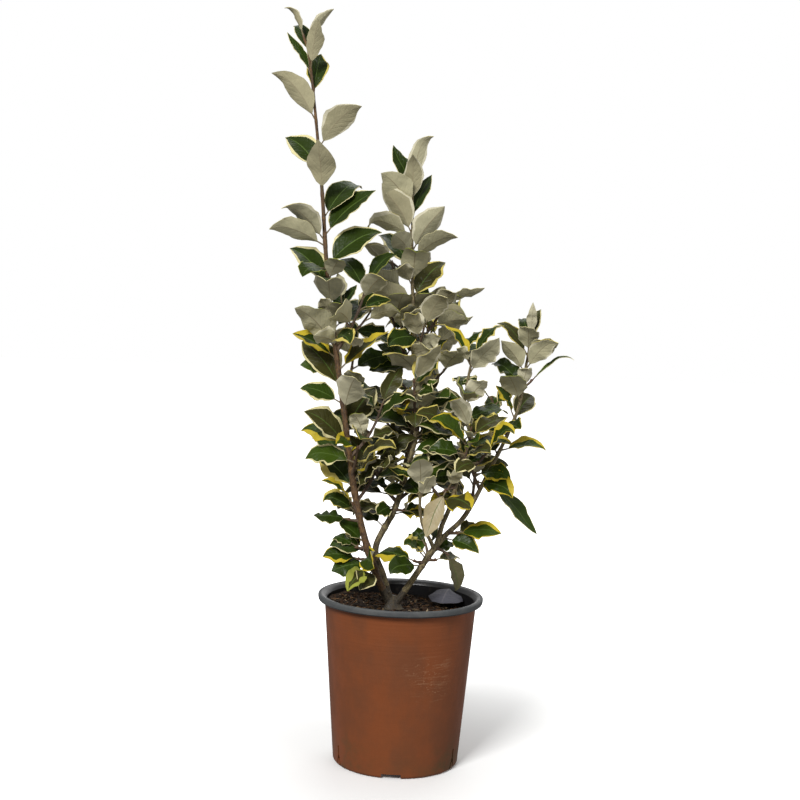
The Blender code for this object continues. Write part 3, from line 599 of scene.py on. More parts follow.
# %% Scatter the bark chips
HUSK_LOOK = len(CHIP_COLOURS)
CHIP_SEED = 71
CHIP_EDGE = 5 * MM
CHIP_TIP = 0.30
CHIP_SHARP = 30
CHIP_COUNT = 420
CHIP_SHARES = (5, 4, 2, 5, 2)
CHIP_LENGTH = (3, 11)
CHIP_WIDTH = (0.2, 0.5)
CHIP_THICKNESS = (0.6, 1.8)
LUMP_COUNT = 260
LUMP_LOOKS = (0, 0, 1, 3, 3, 4)
LUMP_SIZE = (0.8, 2.4)
HUSK_COUNT = 60
HUSK_LENGTH = (2, 6)
HUSK_WIDTH = (0.6, 1.4)
HUSK_THICKNESS = 0.4 * MM


def bedded(chance, reach):
    """A place on the compost and a matrix that tips a piece its own way there."""
    turn = chance.uniform(0, math.tau)
    away = reach * math.sqrt(chance.random())
    x, y = away * math.cos(turn), away * math.sin(turn)
    spot = Matrix.Translation((x, y, crumbled(x, y) + chance.uniform(0.0, 1.2) * MM))
    tip = Matrix.Rotation(chance.gauss(0, CHIP_TIP), 4, "X")
    tip = tip @ Matrix.Rotation(chance.gauss(0, CHIP_TIP), 4, "Y")
    return spot @ tip @ Matrix.Rotation(chance.uniform(0, math.tau), 4, "Z")


def jitter(verts, chance, amount):
    """Knocks each vertex a little off its place."""
    for vert in verts:
        vert.co += Vector([chance.uniform(-amount, amount) for axis in range(3)])


def paint_latest(bm, before, look):
    """Gives the faces past a place in the mesh's list one of its finishes, by its number."""
    bm.faces.ensure_lookup_table()
    for face in bm.faces[before:]:
        face.material_index = look


def add_chip(bm, chance, look, length, width, thick, reach):
    """A splinter: a cylinder of five sides, flattened, narrowed at one end and knocked about."""
    before = len(bm.faces)
    lying = Matrix.Rotation(math.pi / 2, 4, "Y")
    narrow = chance.uniform(0.25, 0.5)
    made = bmesh.ops.create_cone(bm, cap_ends=True, segments=5, radius1=0.5, radius2=narrow, depth=1,
                                 matrix=lying)["verts"]
    bmesh.ops.scale(bm, verts=made, vec=(length, width, thick))
    jitter(made, chance, min(width, thick) * 0.16)
    bmesh.ops.transform(bm, verts=made, matrix=bedded(chance, reach))
    paint_latest(bm, before, look)


def add_lump(bm, chance, look, size, reach):
    """A lump: a ball of twenty faces, pressed flatter and knocked about."""
    before = len(bm.faces)
    made = bmesh.ops.create_icosphere(bm, subdivisions=1, radius=size)["verts"]
    bmesh.ops.scale(bm, verts=made, vec=(1, chance.uniform(0.6, 1), chance.uniform(0.4, 0.8)))
    jitter(made, chance, size * 0.25)
    bmesh.ops.transform(bm, verts=made, matrix=bedded(chance, reach))
    paint_latest(bm, before, look)


def scatter_chips():
    """All the loose bits: bark splinters, lumps, and a few pale husks."""
    chance = random.Random(CHIP_SEED)
    bm = bmesh.new()
    reach = wall_radius(GROUND) - POT_WALL - CHIP_EDGE
    for i in range(CHIP_COUNT):
        look = chance.choices(range(HUSK_LOOK), CHIP_SHARES)[0]
        length = chance.uniform(*CHIP_LENGTH) * MM
        width = length * chance.uniform(*CHIP_WIDTH)
        add_chip(bm, chance, look, length, width, chance.uniform(*CHIP_THICKNESS) * MM, reach)
    for i in range(LUMP_COUNT):
        add_lump(bm, chance, chance.choice(LUMP_LOOKS), chance.uniform(*LUMP_SIZE) * MM, reach)
    for i in range(HUSK_COUNT):
        length = chance.uniform(*HUSK_LENGTH) * MM
        add_chip(bm, chance, HUSK_LOOK, length, chance.uniform(*HUSK_WIDTH) * MM, HUSK_THICKNESS, reach)
    bmesh.ops.recalc_face_normals(bm, faces=bm.faces)
    return bm


dress("bark_chips", scatter_chips(), CHIP_FINISHES, (), CHIP_SHARP)

# %% [markdown]
# The shrub grows by a rule, the same one that made its solids, so every leaf here lies where its solid
# does. A limb is a smooth line through a few points. The line is measured once, so that a place on it can
# be found by how far along it is. Bezier pieces between the points would bulge unless their handles
# follow the neighbours, so each handle is a sixth of the way between the points on either side.

# %% Draw the lines of the limbs
def flat_direction(azimuth, rise):
    """The unit vector towards an azimuth, raised above the level by some degrees."""
    turn, lift = math.radians(azimuth), math.radians(rise)
    return Vector((math.cos(turn) * math.cos(lift), math.sin(turn) * math.cos(lift), math.sin(lift)))


def blend(start, end, share):
    """The value a share of the way from a start to an end."""
    return start + (end - start) * share


class Path:
    """A smooth line through some points, with places on it found by their distance along it."""

    def __init__(self, points):
        knots = [Vector(point) for point in points]
        ends = [2 * knots[0] - knots[1]] + knots + [2 * knots[-1] - knots[-2]]
        self.points = [knots[0]]
        for i in range(1, len(ends) - 2):
            out = ends[i] + (ends[i + 1] - ends[i - 1]) / 6
            back = ends[i + 1] - (ends[i + 2] - ends[i]) / 6
            self.points += interpolate_bezier(ends[i], out, back, ends[i + 1], 12)[1:]
        self.marks = [0.0]
        for i in range(1, len(self.points)):
            self.marks.append(self.marks[-1] + (self.points[i] - self.points[i - 1]).length)
        self.length = self.marks[-1]

    def at(self, distance):
        """The point that far along, on the end's own heading past either end."""
        for i in range(1, len(self.marks)):
            if distance <= self.marks[i] or i == len(self.marks) - 1:
                share = (distance - self.marks[i - 1]) / (self.marks[i] - self.marks[i - 1])
                return self.points[i - 1].lerp(self.points[i], share)

    def heading(self, distance):
        """The unit vector along the line there."""
        step = 2 * MM
        return (self.at(distance + step) - self.at(distance - step)).normalized()

    def at_height(self, height):
        """The distance along to the place where the line rises past a height."""
        for i in range(1, len(self.points)):
            low, high = self.points[i - 1].z, self.points[i].z
            if low <= height < high:
                return blend(self.marks[i - 1], self.marks[i], (height - low) / (high - low))

    def nearest(self, point):
        """The distance along to the line's nearest place to a point, and how far off that is."""
        best = (0.0, math.inf)
        for i in range(1, len(self.points)):
            start, span = self.points[i - 1], self.points[i] - self.points[i - 1]
            share = min(1, max(0, (point - start).dot(span) / span.length_squared))
            away = (point - start - span * share).length
            if away < best[1]:
                best = (blend(self.marks[i - 1], self.marks[i], share), away)
        return best


bend = Path(((0, 0, 0), (10, 0, 20), (5, 0, 40)))
print("a bent line measures", round(bend.length, 2), "and ends at", [round(v) for v in bend.at(bend.length)])

# %% [markdown]
# A limb is thickest at its foot and thins towards its tip, a little faster at first. Rings square to its
# line stand for it wherever the rule asks what it touches. They all take their directions from one fixed
# axis, so that the limb doesn't twist as it bends.

# %% Give the lines a thickness
LIMB_TAPER = 0.8


class Shoot:
    """A limb's line with its taper, and the places of the leaves on it."""

    def __init__(self, path, foot_radius, tip_radius):
        self.path = path
        self.radii = (foot_radius, tip_radius)
        self.nodes = []

    def radius(self, distance):
        """The limb's radius that far along."""
        share = min(1, max(0, distance / self.path.length))
        return blend(self.radii[0], self.radii[1], share ** LIMB_TAPER)

    def frame(self, distance, middle):
        """The middle of the limb there, and two directions square to it."""
        reference = Vector((0, 1, 0)) if abs(middle.y) < 0.8 else Vector((1, 0, 0))
        heading = self.path.heading(distance)
        side = reference.cross(heading).normalized()
        return self.path.at(distance), side, heading.cross(side)

    def rings(self, start, end, kind, grow=0.0):
        """Rings of the limb from one distance to another, square to its line."""
        sides, step = kind
        count = max(2, round((end - start) / step))
        middle = self.path.heading((start + end) / 2)
        rings = []
        for i in range(count + 1):
            distance = blend(start, end, i / count)
            centre, side, front = self.frame(distance, middle)
            size = self.radius(distance) + grow
            turns = [math.tau * k / sides for k in range(sides)]
            rings.append([centre + size * (math.cos(a) * side + math.sin(a) * front) for a in turns])
        return rings


print("halfway up, a limb of 4 mm that ends at 1 mm has", round(Shoot(bend, 4, 1).radius(bend.length / 2), 2))

# %% [markdown]
# A leaf is described by where it starts, which way it points, how steeply it rises, and how it is rolled
# about its own length. Its solid is a few rings: two round the stalk, three across the folded and arched
# blade, and a single point at the tip. The same rings, slightly swollen, will say where there is room.

# %% Describe a leaf
Leaf = namedtuple("Leaf", "root radius azimuth rise length width roll")
PETIOLE = 8 * MM
PETIOLE_HALF = (0.75 * MM, 0.6 * MM)
LEAF_HALF_THICKNESS = 0.45 * MM
LEAF_STATIONS = (0.2, 0.5, 0.8)
LEAF_OUTLINE = (0.9, 0.8)
FOLD = 16
ARCH = 34


def leaf_half(leaf, share):
    """Half a leaf's width at a share of its blade's length."""
    skew, fullness = LEAF_OUTLINE
    return leaf.length * leaf.width * max(0, math.sin(math.pi * share ** skew)) ** fullness


def leaf_start(leaf):
    """The way a leaf sets out, where its blade begins, and the level line across it."""
    start = flat_direction(leaf.azimuth, leaf.rise + ARCH * 0.3)
    side = Vector((-math.sin(math.radians(leaf.azimuth)), math.cos(math.radians(leaf.azimuth)), 0))
    side.rotate(Matrix.Rotation(math.radians(leaf.roll), 3, start))
    return start, leaf.root + start * (leaf.radius + PETIOLE), side


def leaf_rings(leaf, grow=0.0):
    """Rings of a leaf: the petiole from its stem's middle, the folded and arched blade, and the tip."""
    start, point, side = leaf_start(leaf)
    blade = leaf.length - PETIOLE
    half, thick = PETIOLE_HALF
    places = [(leaf.root, start, half + grow, thick + grow), (point, start, half * 1.3 + grow, thick + grow)]
    last = 0.0
    for share in LEAF_STATIONS + (1.0,):
        heading = flat_direction(leaf.azimuth, leaf.rise + ARCH * (0.5 - (last + share) / 2))
        point = point + heading * blade * (share - last)
        places.append((point, heading, leaf_half(leaf, share) + grow, LEAF_HALF_THICKNESS + grow))
        last = share
    rings = []
    fold = math.radians(FOLD)
    for index, (centre, heading, wide, thick) in enumerate(places[:-1]):
        across = (side - heading * side.dot(heading)).normalized()
        normal = heading.cross(across)
        lift = normal * wide * math.sin(fold) if index > 1 else Vector((0, 0, 0))
        reach = across * wide * math.cos(fold)
        ridge = normal * thick
        rings.append([centre + reach + lift, centre + ridge, centre - reach + lift, centre - ridge])
    tip, heading = places[-1][:2]
    rings.append([tip + heading * grow])
    return rings


print("a leaf starts", round(PETIOLE / MM), "mm off its stem and is folded by", FOLD, "degrees")

# %% [markdown]
# Leaves turn their faces to the light. In the photograph most of the low ones face the front, and higher
# up they face the front or the back, whichever is nearer. A roll about the leaf's own length does that as
# far as its direction allows. It goes only part of the way, so that the leaves don't all lie alike.

# %% Turn leaves to the light
FACING_SHARE = 0.6
FACING_LIMIT = 60
FACING_HEIGHTS = (0.36, 0.50)
FACING_FRONT = 0.5


def facing_roll(azimuth, rise, height):
    """How far a leaf turns about its own length to bring its broad face to the front or the back."""
    turn, lift = math.radians(azimuth), math.radians(rise)
    normal_back = -math.sin(lift) * math.sin(turn)
    side_back = math.cos(turn)
    low, high = FACING_HEIGHTS
    share = min(1, max(0, (height - low) / (high - low)))
    way = 1 if normal_back > blend(FACING_FRONT, 0, share) else -1
    best = math.degrees(math.atan2(-way * side_back, way * normal_back))
    return FACING_SHARE * max(-FACING_LIMIT, min(FACING_LIMIT, best))


print("a low leaf that points right is rolled by", round(facing_roll(0, 20, 0.3)), "degrees")

# %% [markdown]
# A leaf is kept only where its swollen rings cross nothing that has grown already. Testing every face
# against every other would be slow. So the balls round the two shapes are compared first, and only where
# they meet does a tree of faces look closer.

# %% Find where there is room
def ring_tree(rings):
    """A search tree of the faces that close a row of rings. The first or last may be a single point."""
    faces = []
    sides = len(rings[1])
    low = 0
    for ring, above in zip(rings, rings[1:]):
        high = low + len(ring)
        for k in range(sides):
            after = (k + 1) % sides
            if len(ring) == 1:
                faces.append((low, high + after, high + k))
            elif len(above) == 1:
                faces.append((low + k, low + after, high))
            else:
                faces.append((low + k, low + after, high + after, high + k))
        low = high
    if len(rings[0]) > 1:
        faces.append(tuple(reversed(range(sides))))
    if len(rings[-1]) > 1:
        faces.append(tuple(range(low, low + sides)))
    return BVHTree.FromPolygons([point for ring in rings for point in ring], faces)


class Taken:
    """The space that limbs and leaves already fill."""

    def __init__(self):
        self.bodies = []

    def ball(self, rings):
        """The middle and the radius of a ball round some rings."""
        points = [point for ring in rings for point in ring]
        centre = sum(points, Vector()) / len(points)
        return centre, max((point - centre).length for point in points)

    def add(self, owner, rings):
        """Takes the space inside some rings, under the name of their owner."""
        self.bodies.append((owner, *self.ball(rings), ring_tree(rings)))

    def is_free(self, rings, but=None):
        """Whether some rings cross nothing, but for a body that they may touch."""
        centre, reach = self.ball(rings)
        tree = ring_tree(rings)
        for owner, other, other_reach, other_tree in self.bodies:
            if owner == but or (other - centre).length > reach + other_reach:
                continue
            if tree.overlap(other_tree):
                return False
        return True


taken = Taken()
print("shapes in the way so far:", len(taken.bodies))

# %% [markdown]
# Each stem has a plan: the points it passes through, its radii, the heights where its masses of leaves
# start, and how leaves come along it. Three stems rise from the foot, and three branches leave them. Plans
# like these are easier to correct against a photograph than points drawn one by one, because a single
# number moves a whole stretch of leaves.

# %% Plan the stems
# How leaves come along a shoot. Pairs go from the tip down: internodes, lengths and rises.
Growth = namedtuple("Growth", "top_azimuth internodes young leaf rise twigs seed width", defaults=(1,))

# A main stem passes through a few points, in millimetres, from its foot to its tip. Each mass of
# leaves starts at the height given and ends where the next one starts.
Stem = namedtuple("Stem", "bough route radii masses growth")
STEMS = (
    Stem("left_leader", ((-9, 0, 176), (-31, -6, 221), (-53, -11, 294), (-70, -15, 393), (-93, -17, 539),
                         (-106, -16, 667), (-122, -15, 790), (-130, -15, 819)),
         (4.6, 1.3),
         (("leader_low_leaves", 298), ("leader_mid_leaves", 440), ("leader_high_leaves", 575),
          ("leader_tip_leaves", 705)),
         Growth(208, (30, 23), 6, (34, 69), (64, 28), 0.0, 24829)),
    Stem("central_stem", ((-9, 2, 176), (-21, 11, 211), (-31, 17, 243), (-12, 21, 285), (0, 24, 323),
                          (16, 30, 416), (5, 30, 497), (0, 30, 567), (-3, 30, 662)),
         (4.4, 1.3),
         (("central_low_leaves", 330), ("central_mid_leaves", 425), ("central_high_leaves", 520),
          ("central_tip_leaves", 600)),
         Growth(345, (21, 13), 3, (68, 64), (74, 8), 0.3, 18864)),
    Stem("right_stem", ((-9, -1, 176), (14, -6, 213), (33, -10, 244), (49, -11, 265), (71, -8, 289),
                        (98, -4, 343), (126, 0, 409), (134, 4, 461), (139, 6, 492)),
         (4.2, 1.2),
         (("right_low_leaves", 350), ("right_tip_leaves", 415)),
         Growth(260, (22, 19), 4, (42, 54), (70, 6), 0.1, 14415)),
)

# A branch leaves its parent at a height, and passes through its own points
Branch = namedtuple("Branch", "parent height stem")
BRANCHES = (
    Branch("right_stem", 254, Stem("middle_right_stem",
           ((44, -16, 276), (53, -24, 303), (62, -28, 350), (63, -28, 400), (67, -26, 445), (72, -25, 470)),
           (3.2, 1.2), (("middle_right_low_leaves", 336), ("middle_right_tip_leaves", 405)),
           Growth(36, (20, 15), 2, (46, 60), (52, 5), 0.35, 6))),
    Branch("central_stem", 300, Stem("back_stem",
           ((-2, 42, 330), (8, 62, 385), (18, 70, 450), (22, 68, 520)),
           (2.8, 1.2), (("back_low_leaves", 365), ("back_tip_leaves", 445)),
           Growth(100, (22, 16), 3, (44, 62), (60, 0), 0.4, 9))),
    Branch("right_stem", 249, Stem("front_spur",
           ((30, -20, 262), (21, -27, 281), (18, -30, 306), (20, -30, 330)),
           (2.4, 1.3), (("front_spur_leaves", 300),),
           Growth(200, (12, 12), 2, (44, 54), (50, 10), 0.0, 4))),
)

print(len(STEMS), "stems and", len(BRANCHES), "branches planned")

# %% [markdown]
# Many short side shoots leave the stems. Each leaves its parent at a height, towards an azimuth, and its
# rise changes along its length. Its leaves rise by their own amount at its tip, and lie lower further
# down. A shoot is a single row of numbers, because there are so many that even small plans would be long.

# %% Plan the side shoots
Side = namedtuple("Side", "name parent height azimuth rise length top_azimuth leaf leaf_rise seed width",
                  defaults=(1,))
SIDE_INTERNODES = (17, 13)
SIDE_TIP_LEAF = 0.85
SIDE_TWIGS = 0.1
SIDES = (
    Side("left_low_leaves", "left_leader", 233, 196, (0, 5), 14, 186, 46, 2, 21, 1.3),
    Side("left_low_front_leaves", "left_leader", 246, 205, (0, 10), 12.5, 192, 34, 30, 50, 1.3),
    Side("left_hanging_leaves", "left_leader", 226, 240, (0, -5), 12.5, 216, 44, -16, 22, 1.3),
    Side("low_front_leaves", "right_stem", 232, 215, (5, 15), 12.5, 182, 52, -2, 23, 1.25),
    Side("low_upright_leaves", "right_stem", 240, 120, (50, 70), 12.5, 118, 32, 70, 51, 1.3),
    Side("low_right_leaves", "right_stem", 236, 320, (0, 5), 12, 12, 38, 8, 24),
    Side("low_outer_leaves", "right_stem", 268, 320, (0, 5), 12, 352, 56, -2, 25),
    Side("right_drooping_leaves", "right_stem", 326, 320, (0, -10), 11.5, 344, 74, -42, 26),
    Side("left_inner_leaves", "left_leader", 350, 20, (42, 75), 70, 60, 56, 50, 27),
    Side("left_back_leaves", "left_leader", 410, 75, (45, 75), 70, 120, 56, 50, 28),
    Side("left_lower_inner_leaves", "left_leader", 300, 50, (35, 60), 55, 20, 58, 40, 29),
    Side("left_front_leaves", "left_leader", 330, 285, (40, 70), 40, 240, 58, 30, 30),
    Side("left_upper_inner_leaves", "left_leader", 470, 12, (55, 80), 85, 20, 58, 55, 31),
    Side("central_low_left_leaves", "central_stem", 296, 150, (35, 70), 75, 200, 56, 45, 32),
    Side("central_low_right_leaves", "central_stem", 300, 345, (35, 60), 50, 10, 58, 35, 33),
    Side("central_front_leaves", "central_stem", 380, 262, (40, 75), 70, 300, 58, 45, 34),
    Side("central_left_leaves", "central_stem", 440, 175, (48, 78), 80, 140, 58, 50, 35),
    Side("central_upper_left_leaves", "central_stem", 520, 165, (50, 75), 60, 190, 54, 50, 36),
    Side("central_upper_right_leaves", "central_stem", 480, 345, (45, 70), 60, 330, 58, 45, 37),
    Side("middle_right_front_leaves", "middle_right_stem", 330, 290, (45, 75), 70, 250, 54, 45, 38),
    Side("middle_right_inner_leaves", "middle_right_stem", 300, 165, (35, 60), 45, 220, 56, 30, 39),
    Side("right_upper_leaves", "right_stem", 382, 195, (50, 75), 45, 200, 46, 45, 40),
    Side("right_back_leaves", "right_stem", 300, 80, (50, 78), 90, 60, 54, 50, 41),
    Side("right_inner_leaves", "right_stem", 318, 200, (60, 75), 45, 230, 56, 40, 42),
    Side("right_hanging_leaves", "right_stem", 250, 340, (-10, -30), 15, 25, 50, -60, 45),
    Side("right_curled_leaves", "right_stem", 436, 350, (30, 50), 12, 2, 58, 56, 54, 0.22),
    Side("back_left_leaves", "back_stem", 350, 150, (40, 70), 60, 200, 58, 45, 43),
    Side("back_right_leaves", "back_stem", 360, 30, (40, 70), 60, 340, 58, 45, 44),
    Side("papery_leaves", "middle_right_stem", 322, 200, (0, -30), 12, 212, 56, -62, 46),
    Side("left_dark_leaves", "left_leader", 278, 205, (0, 10), 12.5, 196, 44, 6, 47, 1.35),
    Side("left_yellow_leaves", "left_leader", 287, 220, (40, 60), 12.5, 200, 52, 68, 53),
    Side("central_lowest_leaves", "central_stem", 286, 215, (10, 30), 12.5, 196, 46, -10, 52, 1.25),
    Side("central_inner_leaves", "central_stem", 312, 230, (0, 10), 12, 185, 48, 8, 48),
    Side("central_outer_leaves", "central_stem", 288, 320, (-5, 5), 12, 345, 44, -4, 49),
)
print(len(SIDES), "side shoots planned")

# %% [markdown]
# A leaf often has no room where it would grow first. A short list of nudges then turns it, lifts it or
# makes it smaller. The first try that leaves it free wins, and where none does the leaf is left out. Its
# stalk may touch its own stem, but the rest of the leaf has to clear that too.

# %% Place a leaf
CLEARANCE = 0.5 * MM
ROLL_SPREAD = 14
STEEPEST = 80
NUDGES = ((0, 0, 1), (14, 6, 1), (-14, -6, 1), (28, -12, 0.92), (-28, 12, 0.92),
          (0, 24, 0.85), (0, -26, 0.85), (46, 0, 0.8), (-46, 8, 0.8))


class Mass:
    """One mass: a stretch of its shoot, with the twigs and leaves that grow on it."""

    def __init__(self, name, shoot, start, end):
        self.name = name
        self.shoot = shoot
        self.start = start
        self.end = end
        self.leaves = []
        self.twigs = []


def place_leaf(mass, owner, shoot, distance, azimuth, rise, length, width, chance, taken):
    """Adds a leaf where it touches nothing but its own stem, after small turns where it must."""
    root = shoot.path.at(distance)
    loose = chance.uniform(-ROLL_SPREAD, ROLL_SPREAD)
    for turn, lift, size in NUDGES:
        roll = loose + facing_roll(azimuth + turn, rise + lift, root.z)
        leaf = Leaf(root, shoot.radius(distance), azimuth + turn, min(STEEPEST, rise + lift),
                    length * size, width, roll)
        grown = leaf_rings(leaf, CLEARANCE)
        if taken.is_free(grown, owner) and taken.is_free(grown[1:]):
            mass.leaves.append(leaf)
            shoot.nodes.append(distance)
            taken.add(mass.name + "_leaf", leaf_rings(leaf))
            return True
    return False


print("a leaf gets", len(NUDGES), "tries")

# %% [markdown]
# On older wood some leaves come on short twigs. A twig is a small limb of its own that leaves the shoot,
# turns up a little and carries its leaves close together at its end. One that would stay bare is taken
# back, because a bare twig would only poke out of the crown.

# %% Place a leafy twig
TURN = 144
LEAF_WIDTH = 0.27
TWIG_RINGS = (4, 13 * MM)
TWIG_RADII = (1.5 * MM, 1.1 * MM)
TWIG_LENGTH = (0.5, 0.8)
TWIG_LIFT = 12
TWIG_TURN = 20
TWIG_UPWARD = 0.25
TWIG_LEAF_LIFT = (5, 20)
TWIG_LEAVES = (1 * MM, 9 * MM, 18 * MM)
TWIG_LEAF_SIZE = (0.8, 0.95)
TWIG_CLEAR = 4 * MM


def place_twig(mass, owner, shoot, distance, azimuth, rise, length, chance, taken):
    """Adds a short twig that ends in a few leaves, where it is free."""
    out = flat_direction(azimuth, rise)
    root = shoot.path.at(distance)
    size = chance.uniform(*TWIG_LENGTH) * length
    points = (root, root + out * size * 0.5, root + out * size + Vector((0, 0, size * TWIG_UPWARD)))
    twig = Shoot(Path(points), *TWIG_RADII)
    grown = twig.rings(0, twig.path.length, TWIG_RINGS, CLEARANCE)
    beyond = twig.rings(shoot.radius(distance) + TWIG_CLEAR, twig.path.length, TWIG_RINGS, CLEARANCE)
    if not (taken.is_free(grown, owner) and taken.is_free(beyond)):
        return False
    name = "%s_twig_%d" % (mass.name, len(mass.leaves) + len(mass.twigs))
    taken.add(name, twig.rings(0, twig.path.length, TWIG_RINGS))
    turn = azimuth + chance.uniform(-TWIG_TURN, TWIG_TURN)
    placed = 0
    for back in TWIG_LEAVES:
        place = twig.path.length - back
        if place > shoot.radius(distance) + PETIOLE:
            lift = rise + chance.uniform(*TWIG_LEAF_LIFT) - back / MM
            size = length * chance.uniform(*TWIG_LEAF_SIZE)
            placed += place_leaf(mass, name, twig, place, turn, lift, size, LEAF_WIDTH, chance, taken)
            turn += TURN
    if placed:
        mass.twigs.append(twig)
        return True
    taken.bodies = [body for body in taken.bodies if body[0] != name]
    return False


print("a twig carries up to", len(TWIG_LEAVES), "leaves")

# %% [markdown]
# Growing is dealing places out. Going down from each tip, the rule takes the next place along the shoot,
# turns two-fifths of a circle, wavers a little by seeded chance, and tries a leaf or a twig. The order of
# the random numbers matters: the same order as for the solids gives the same plant.

# %% Deal leaves along a shoot
TIP_INSET = 1.5 * MM
TIP_INTERNODES = (7 * MM, 12 * MM, 16 * MM)
START_INSET = 4 * MM
END_INSET = 8 * MM
PLACE_SPREAD = 2 * MM
TURN_SPREAD = 24
RISE_SPREAD = 11
RISE_POWER = 0.6
LENGTH_SPREAD = (0.92, 1.06)
WIDTH_SPREAD = (0.9, 1.08)
YOUNG_WIDTH = 0.12
WIDTH_AGE = 1.7


def leaf_places(length, internodes, start):
    """Distances along a shoot, from its tip down: close together at the tip, then more even."""
    place = length - TIP_INSET
    count = 0
    while place > start:
        yield count, place
        share = (length - place) / (length - start)
        even = blend(internodes[0], internodes[1], min(1, share * 1.5)) * MM
        place -= min(even, TIP_INTERNODES[count]) if count < len(TIP_INTERNODES) else even
        count += 1


def grow_leaves(shoot, masses, growth, taken):
    """Deals leaves and twigs along a shoot, each to the mass whose stretch it grows on."""
    chance = random.Random(growth.seed)
    leafy = shoot.path.length - masses[0].start
    lowest = masses[0].start + START_INSET
    for count, place in leaf_places(shoot.path.length, growth.internodes, lowest):
        place += chance.uniform(-PLACE_SPREAD, PLACE_SPREAD) if count > growth.young else 0
        mass = [one for one in masses if one.start < place][-1]
        if mass is not masses[-1]:
            place = min(place, mass.end - END_INSET)
        place = max(place, mass.start + START_INSET)
        share = (shoot.path.length - place) / leafy
        age = (count + 1) / growth.young
        length = blend(*growth.leaf, min(1, age)) * MM * chance.uniform(*LENGTH_SPREAD)
        width = blend(YOUNG_WIDTH, LEAF_WIDTH, min(1, age / WIDTH_AGE)) * growth.width
        width *= chance.uniform(*WIDTH_SPREAD)
        rise = blend(*growth.rise, share ** RISE_POWER) + chance.uniform(-RISE_SPREAD, RISE_SPREAD)
        azimuth = growth.top_azimuth + TURN * count + chance.uniform(-TURN_SPREAD, TURN_SPREAD)
        if count > growth.young + 2 and chance.random() < growth.twigs:
            lift = rise + TWIG_LIFT
            if place_twig(mass, mass.name, shoot, place, azimuth, lift, length, chance, taken):
                continue
        place_leaf(mass, mass.name, shoot, place, azimuth, rise, length, width, chance, taken)


places = [round(place / MM) for count, place in leaf_places(100 * MM, SIDE_INTERNODES, 0)]
print("places on a side shoot of 100 mm:", places)

# %% [markdown]
# A side shoot's solid stops just short of its parent's bark. Each point of its first rings is slid along
# the shoot until it sits there, and the distance is found by halving it again and again. The rings then
# make a saddle that follows the bark, whatever angle the two limbs meet at.

# %% Seat the side shoots
GAP = 0.3 * MM
SEAT_GAP = 1.7 * GAP
SEAT_REACH = 25 * MM
SEAT_HALVINGS = 24
ROOT_CLEAR = 2 * MM
STEM_RINGS = (6, 13 * MM)
SIDE_RADII = (2.2 * MM, 1.2 * MM)
SIDE_SHARE = 0.75
SIDE_STEPS = 4


def seat(point, heading, behind, parent):
    """Slides a point along a heading until it sits just off the parent limb's bark."""
    inside, outside = -behind, SEAT_REACH
    for i in range(SEAT_HALVINGS):
        middle = (inside + outside) / 2
        place, away = parent.path.nearest(point + heading * middle)
        if away > parent.radius(place) + SEAT_GAP:
            outside = middle
        else:
            inside = middle
    return point + heading * outside


def seated_rings(shoot, start, end, parent):
    """A side shoot's rings, the first ones sunk to a saddle that follows the parent's bark."""
    rings = shoot.rings(start, end, STEM_RINGS)
    centre = shoot.path.at(start)
    heading = shoot.path.heading(start)
    inner = [centre.lerp(point, 0.5) for point in rings[0]]
    saddle = [[seat(point, heading, start, parent) for point in ring] for ring in ([centre], inner, rings[0])]
    return saddle + rings[1:]


def plan_side(side, parent, taken):
    """A side shoot's line, seated on its parent, as one mass of leaves."""
    fork = parent.path.at_height(side.height * MM)
    points = [parent.path.at(fork)]
    for i in range(SIDE_STEPS):
        lift = blend(*side.rise, (i + 0.5) / SIDE_STEPS)
        points.append(points[-1] + flat_direction(side.azimuth, lift) * side.length * MM / SIDE_STEPS)
    foot_radius, tip_radius = SIDE_RADII
    shoot = Shoot(Path(points), min(foot_radius, parent.radius(fork) * SIDE_SHARE), tip_radius)
    start = parent.radius(fork) + ROOT_CLEAR
    mass = Mass(side.name, shoot, start, shoot.path.length)
    taken.add(side.name, seated_rings(shoot, mass.start, mass.end, parent))
    growth = Growth(side.top_azimuth, SIDE_INTERNODES, 1, (side.leaf * SIDE_TIP_LEAF, side.leaf),
                    (side.leaf_rise, min(0, side.leaf_rise)), SIDE_TWIGS, side.seed, side.width)
    return growth, shoot, [mass]


print("a side shoot stops", round(SEAT_GAP / MM, 2), "mm off the bark")

# %% [markdown]
# Each stem is parted into its bare bough and its masses of leaves, as its solids are. All the limbs take
# their space first, and only then do the leaves come, stem by stem. In the other order a leaf could stand
# where a limb has to pass.

# %% Grow the plant
BOUGH_RINGS = (8, 7 * MM)
FOOT_ARM = 25 * MM


def split_stem(stem, shoot, start, taken):
    """Parts a stem into its bough and its masses of leaves, with a fine gap at each cut."""
    cuts = [shoot.path.at_height(height * MM) for name, height in stem.masses] + [shoot.path.length]
    taken.add(stem.bough, shoot.rings(start, cuts[0] - GAP / 2, BOUGH_RINGS))
    masses = []
    for i, (name, height) in enumerate(stem.masses):
        end = cuts[i + 1] - GAP / 2 if i + 1 < len(stem.masses) else cuts[i + 1]
        mass = Mass(name, shoot, cuts[i] + GAP / 2, end)
        taken.add(name, shoot.rings(mass.start, mass.end, STEM_RINGS))
        masses.append(mass)
    return masses


def metres(points):
    """Points in metres, from points in millimetres."""
    return [Vector(point) * MM for point in points]


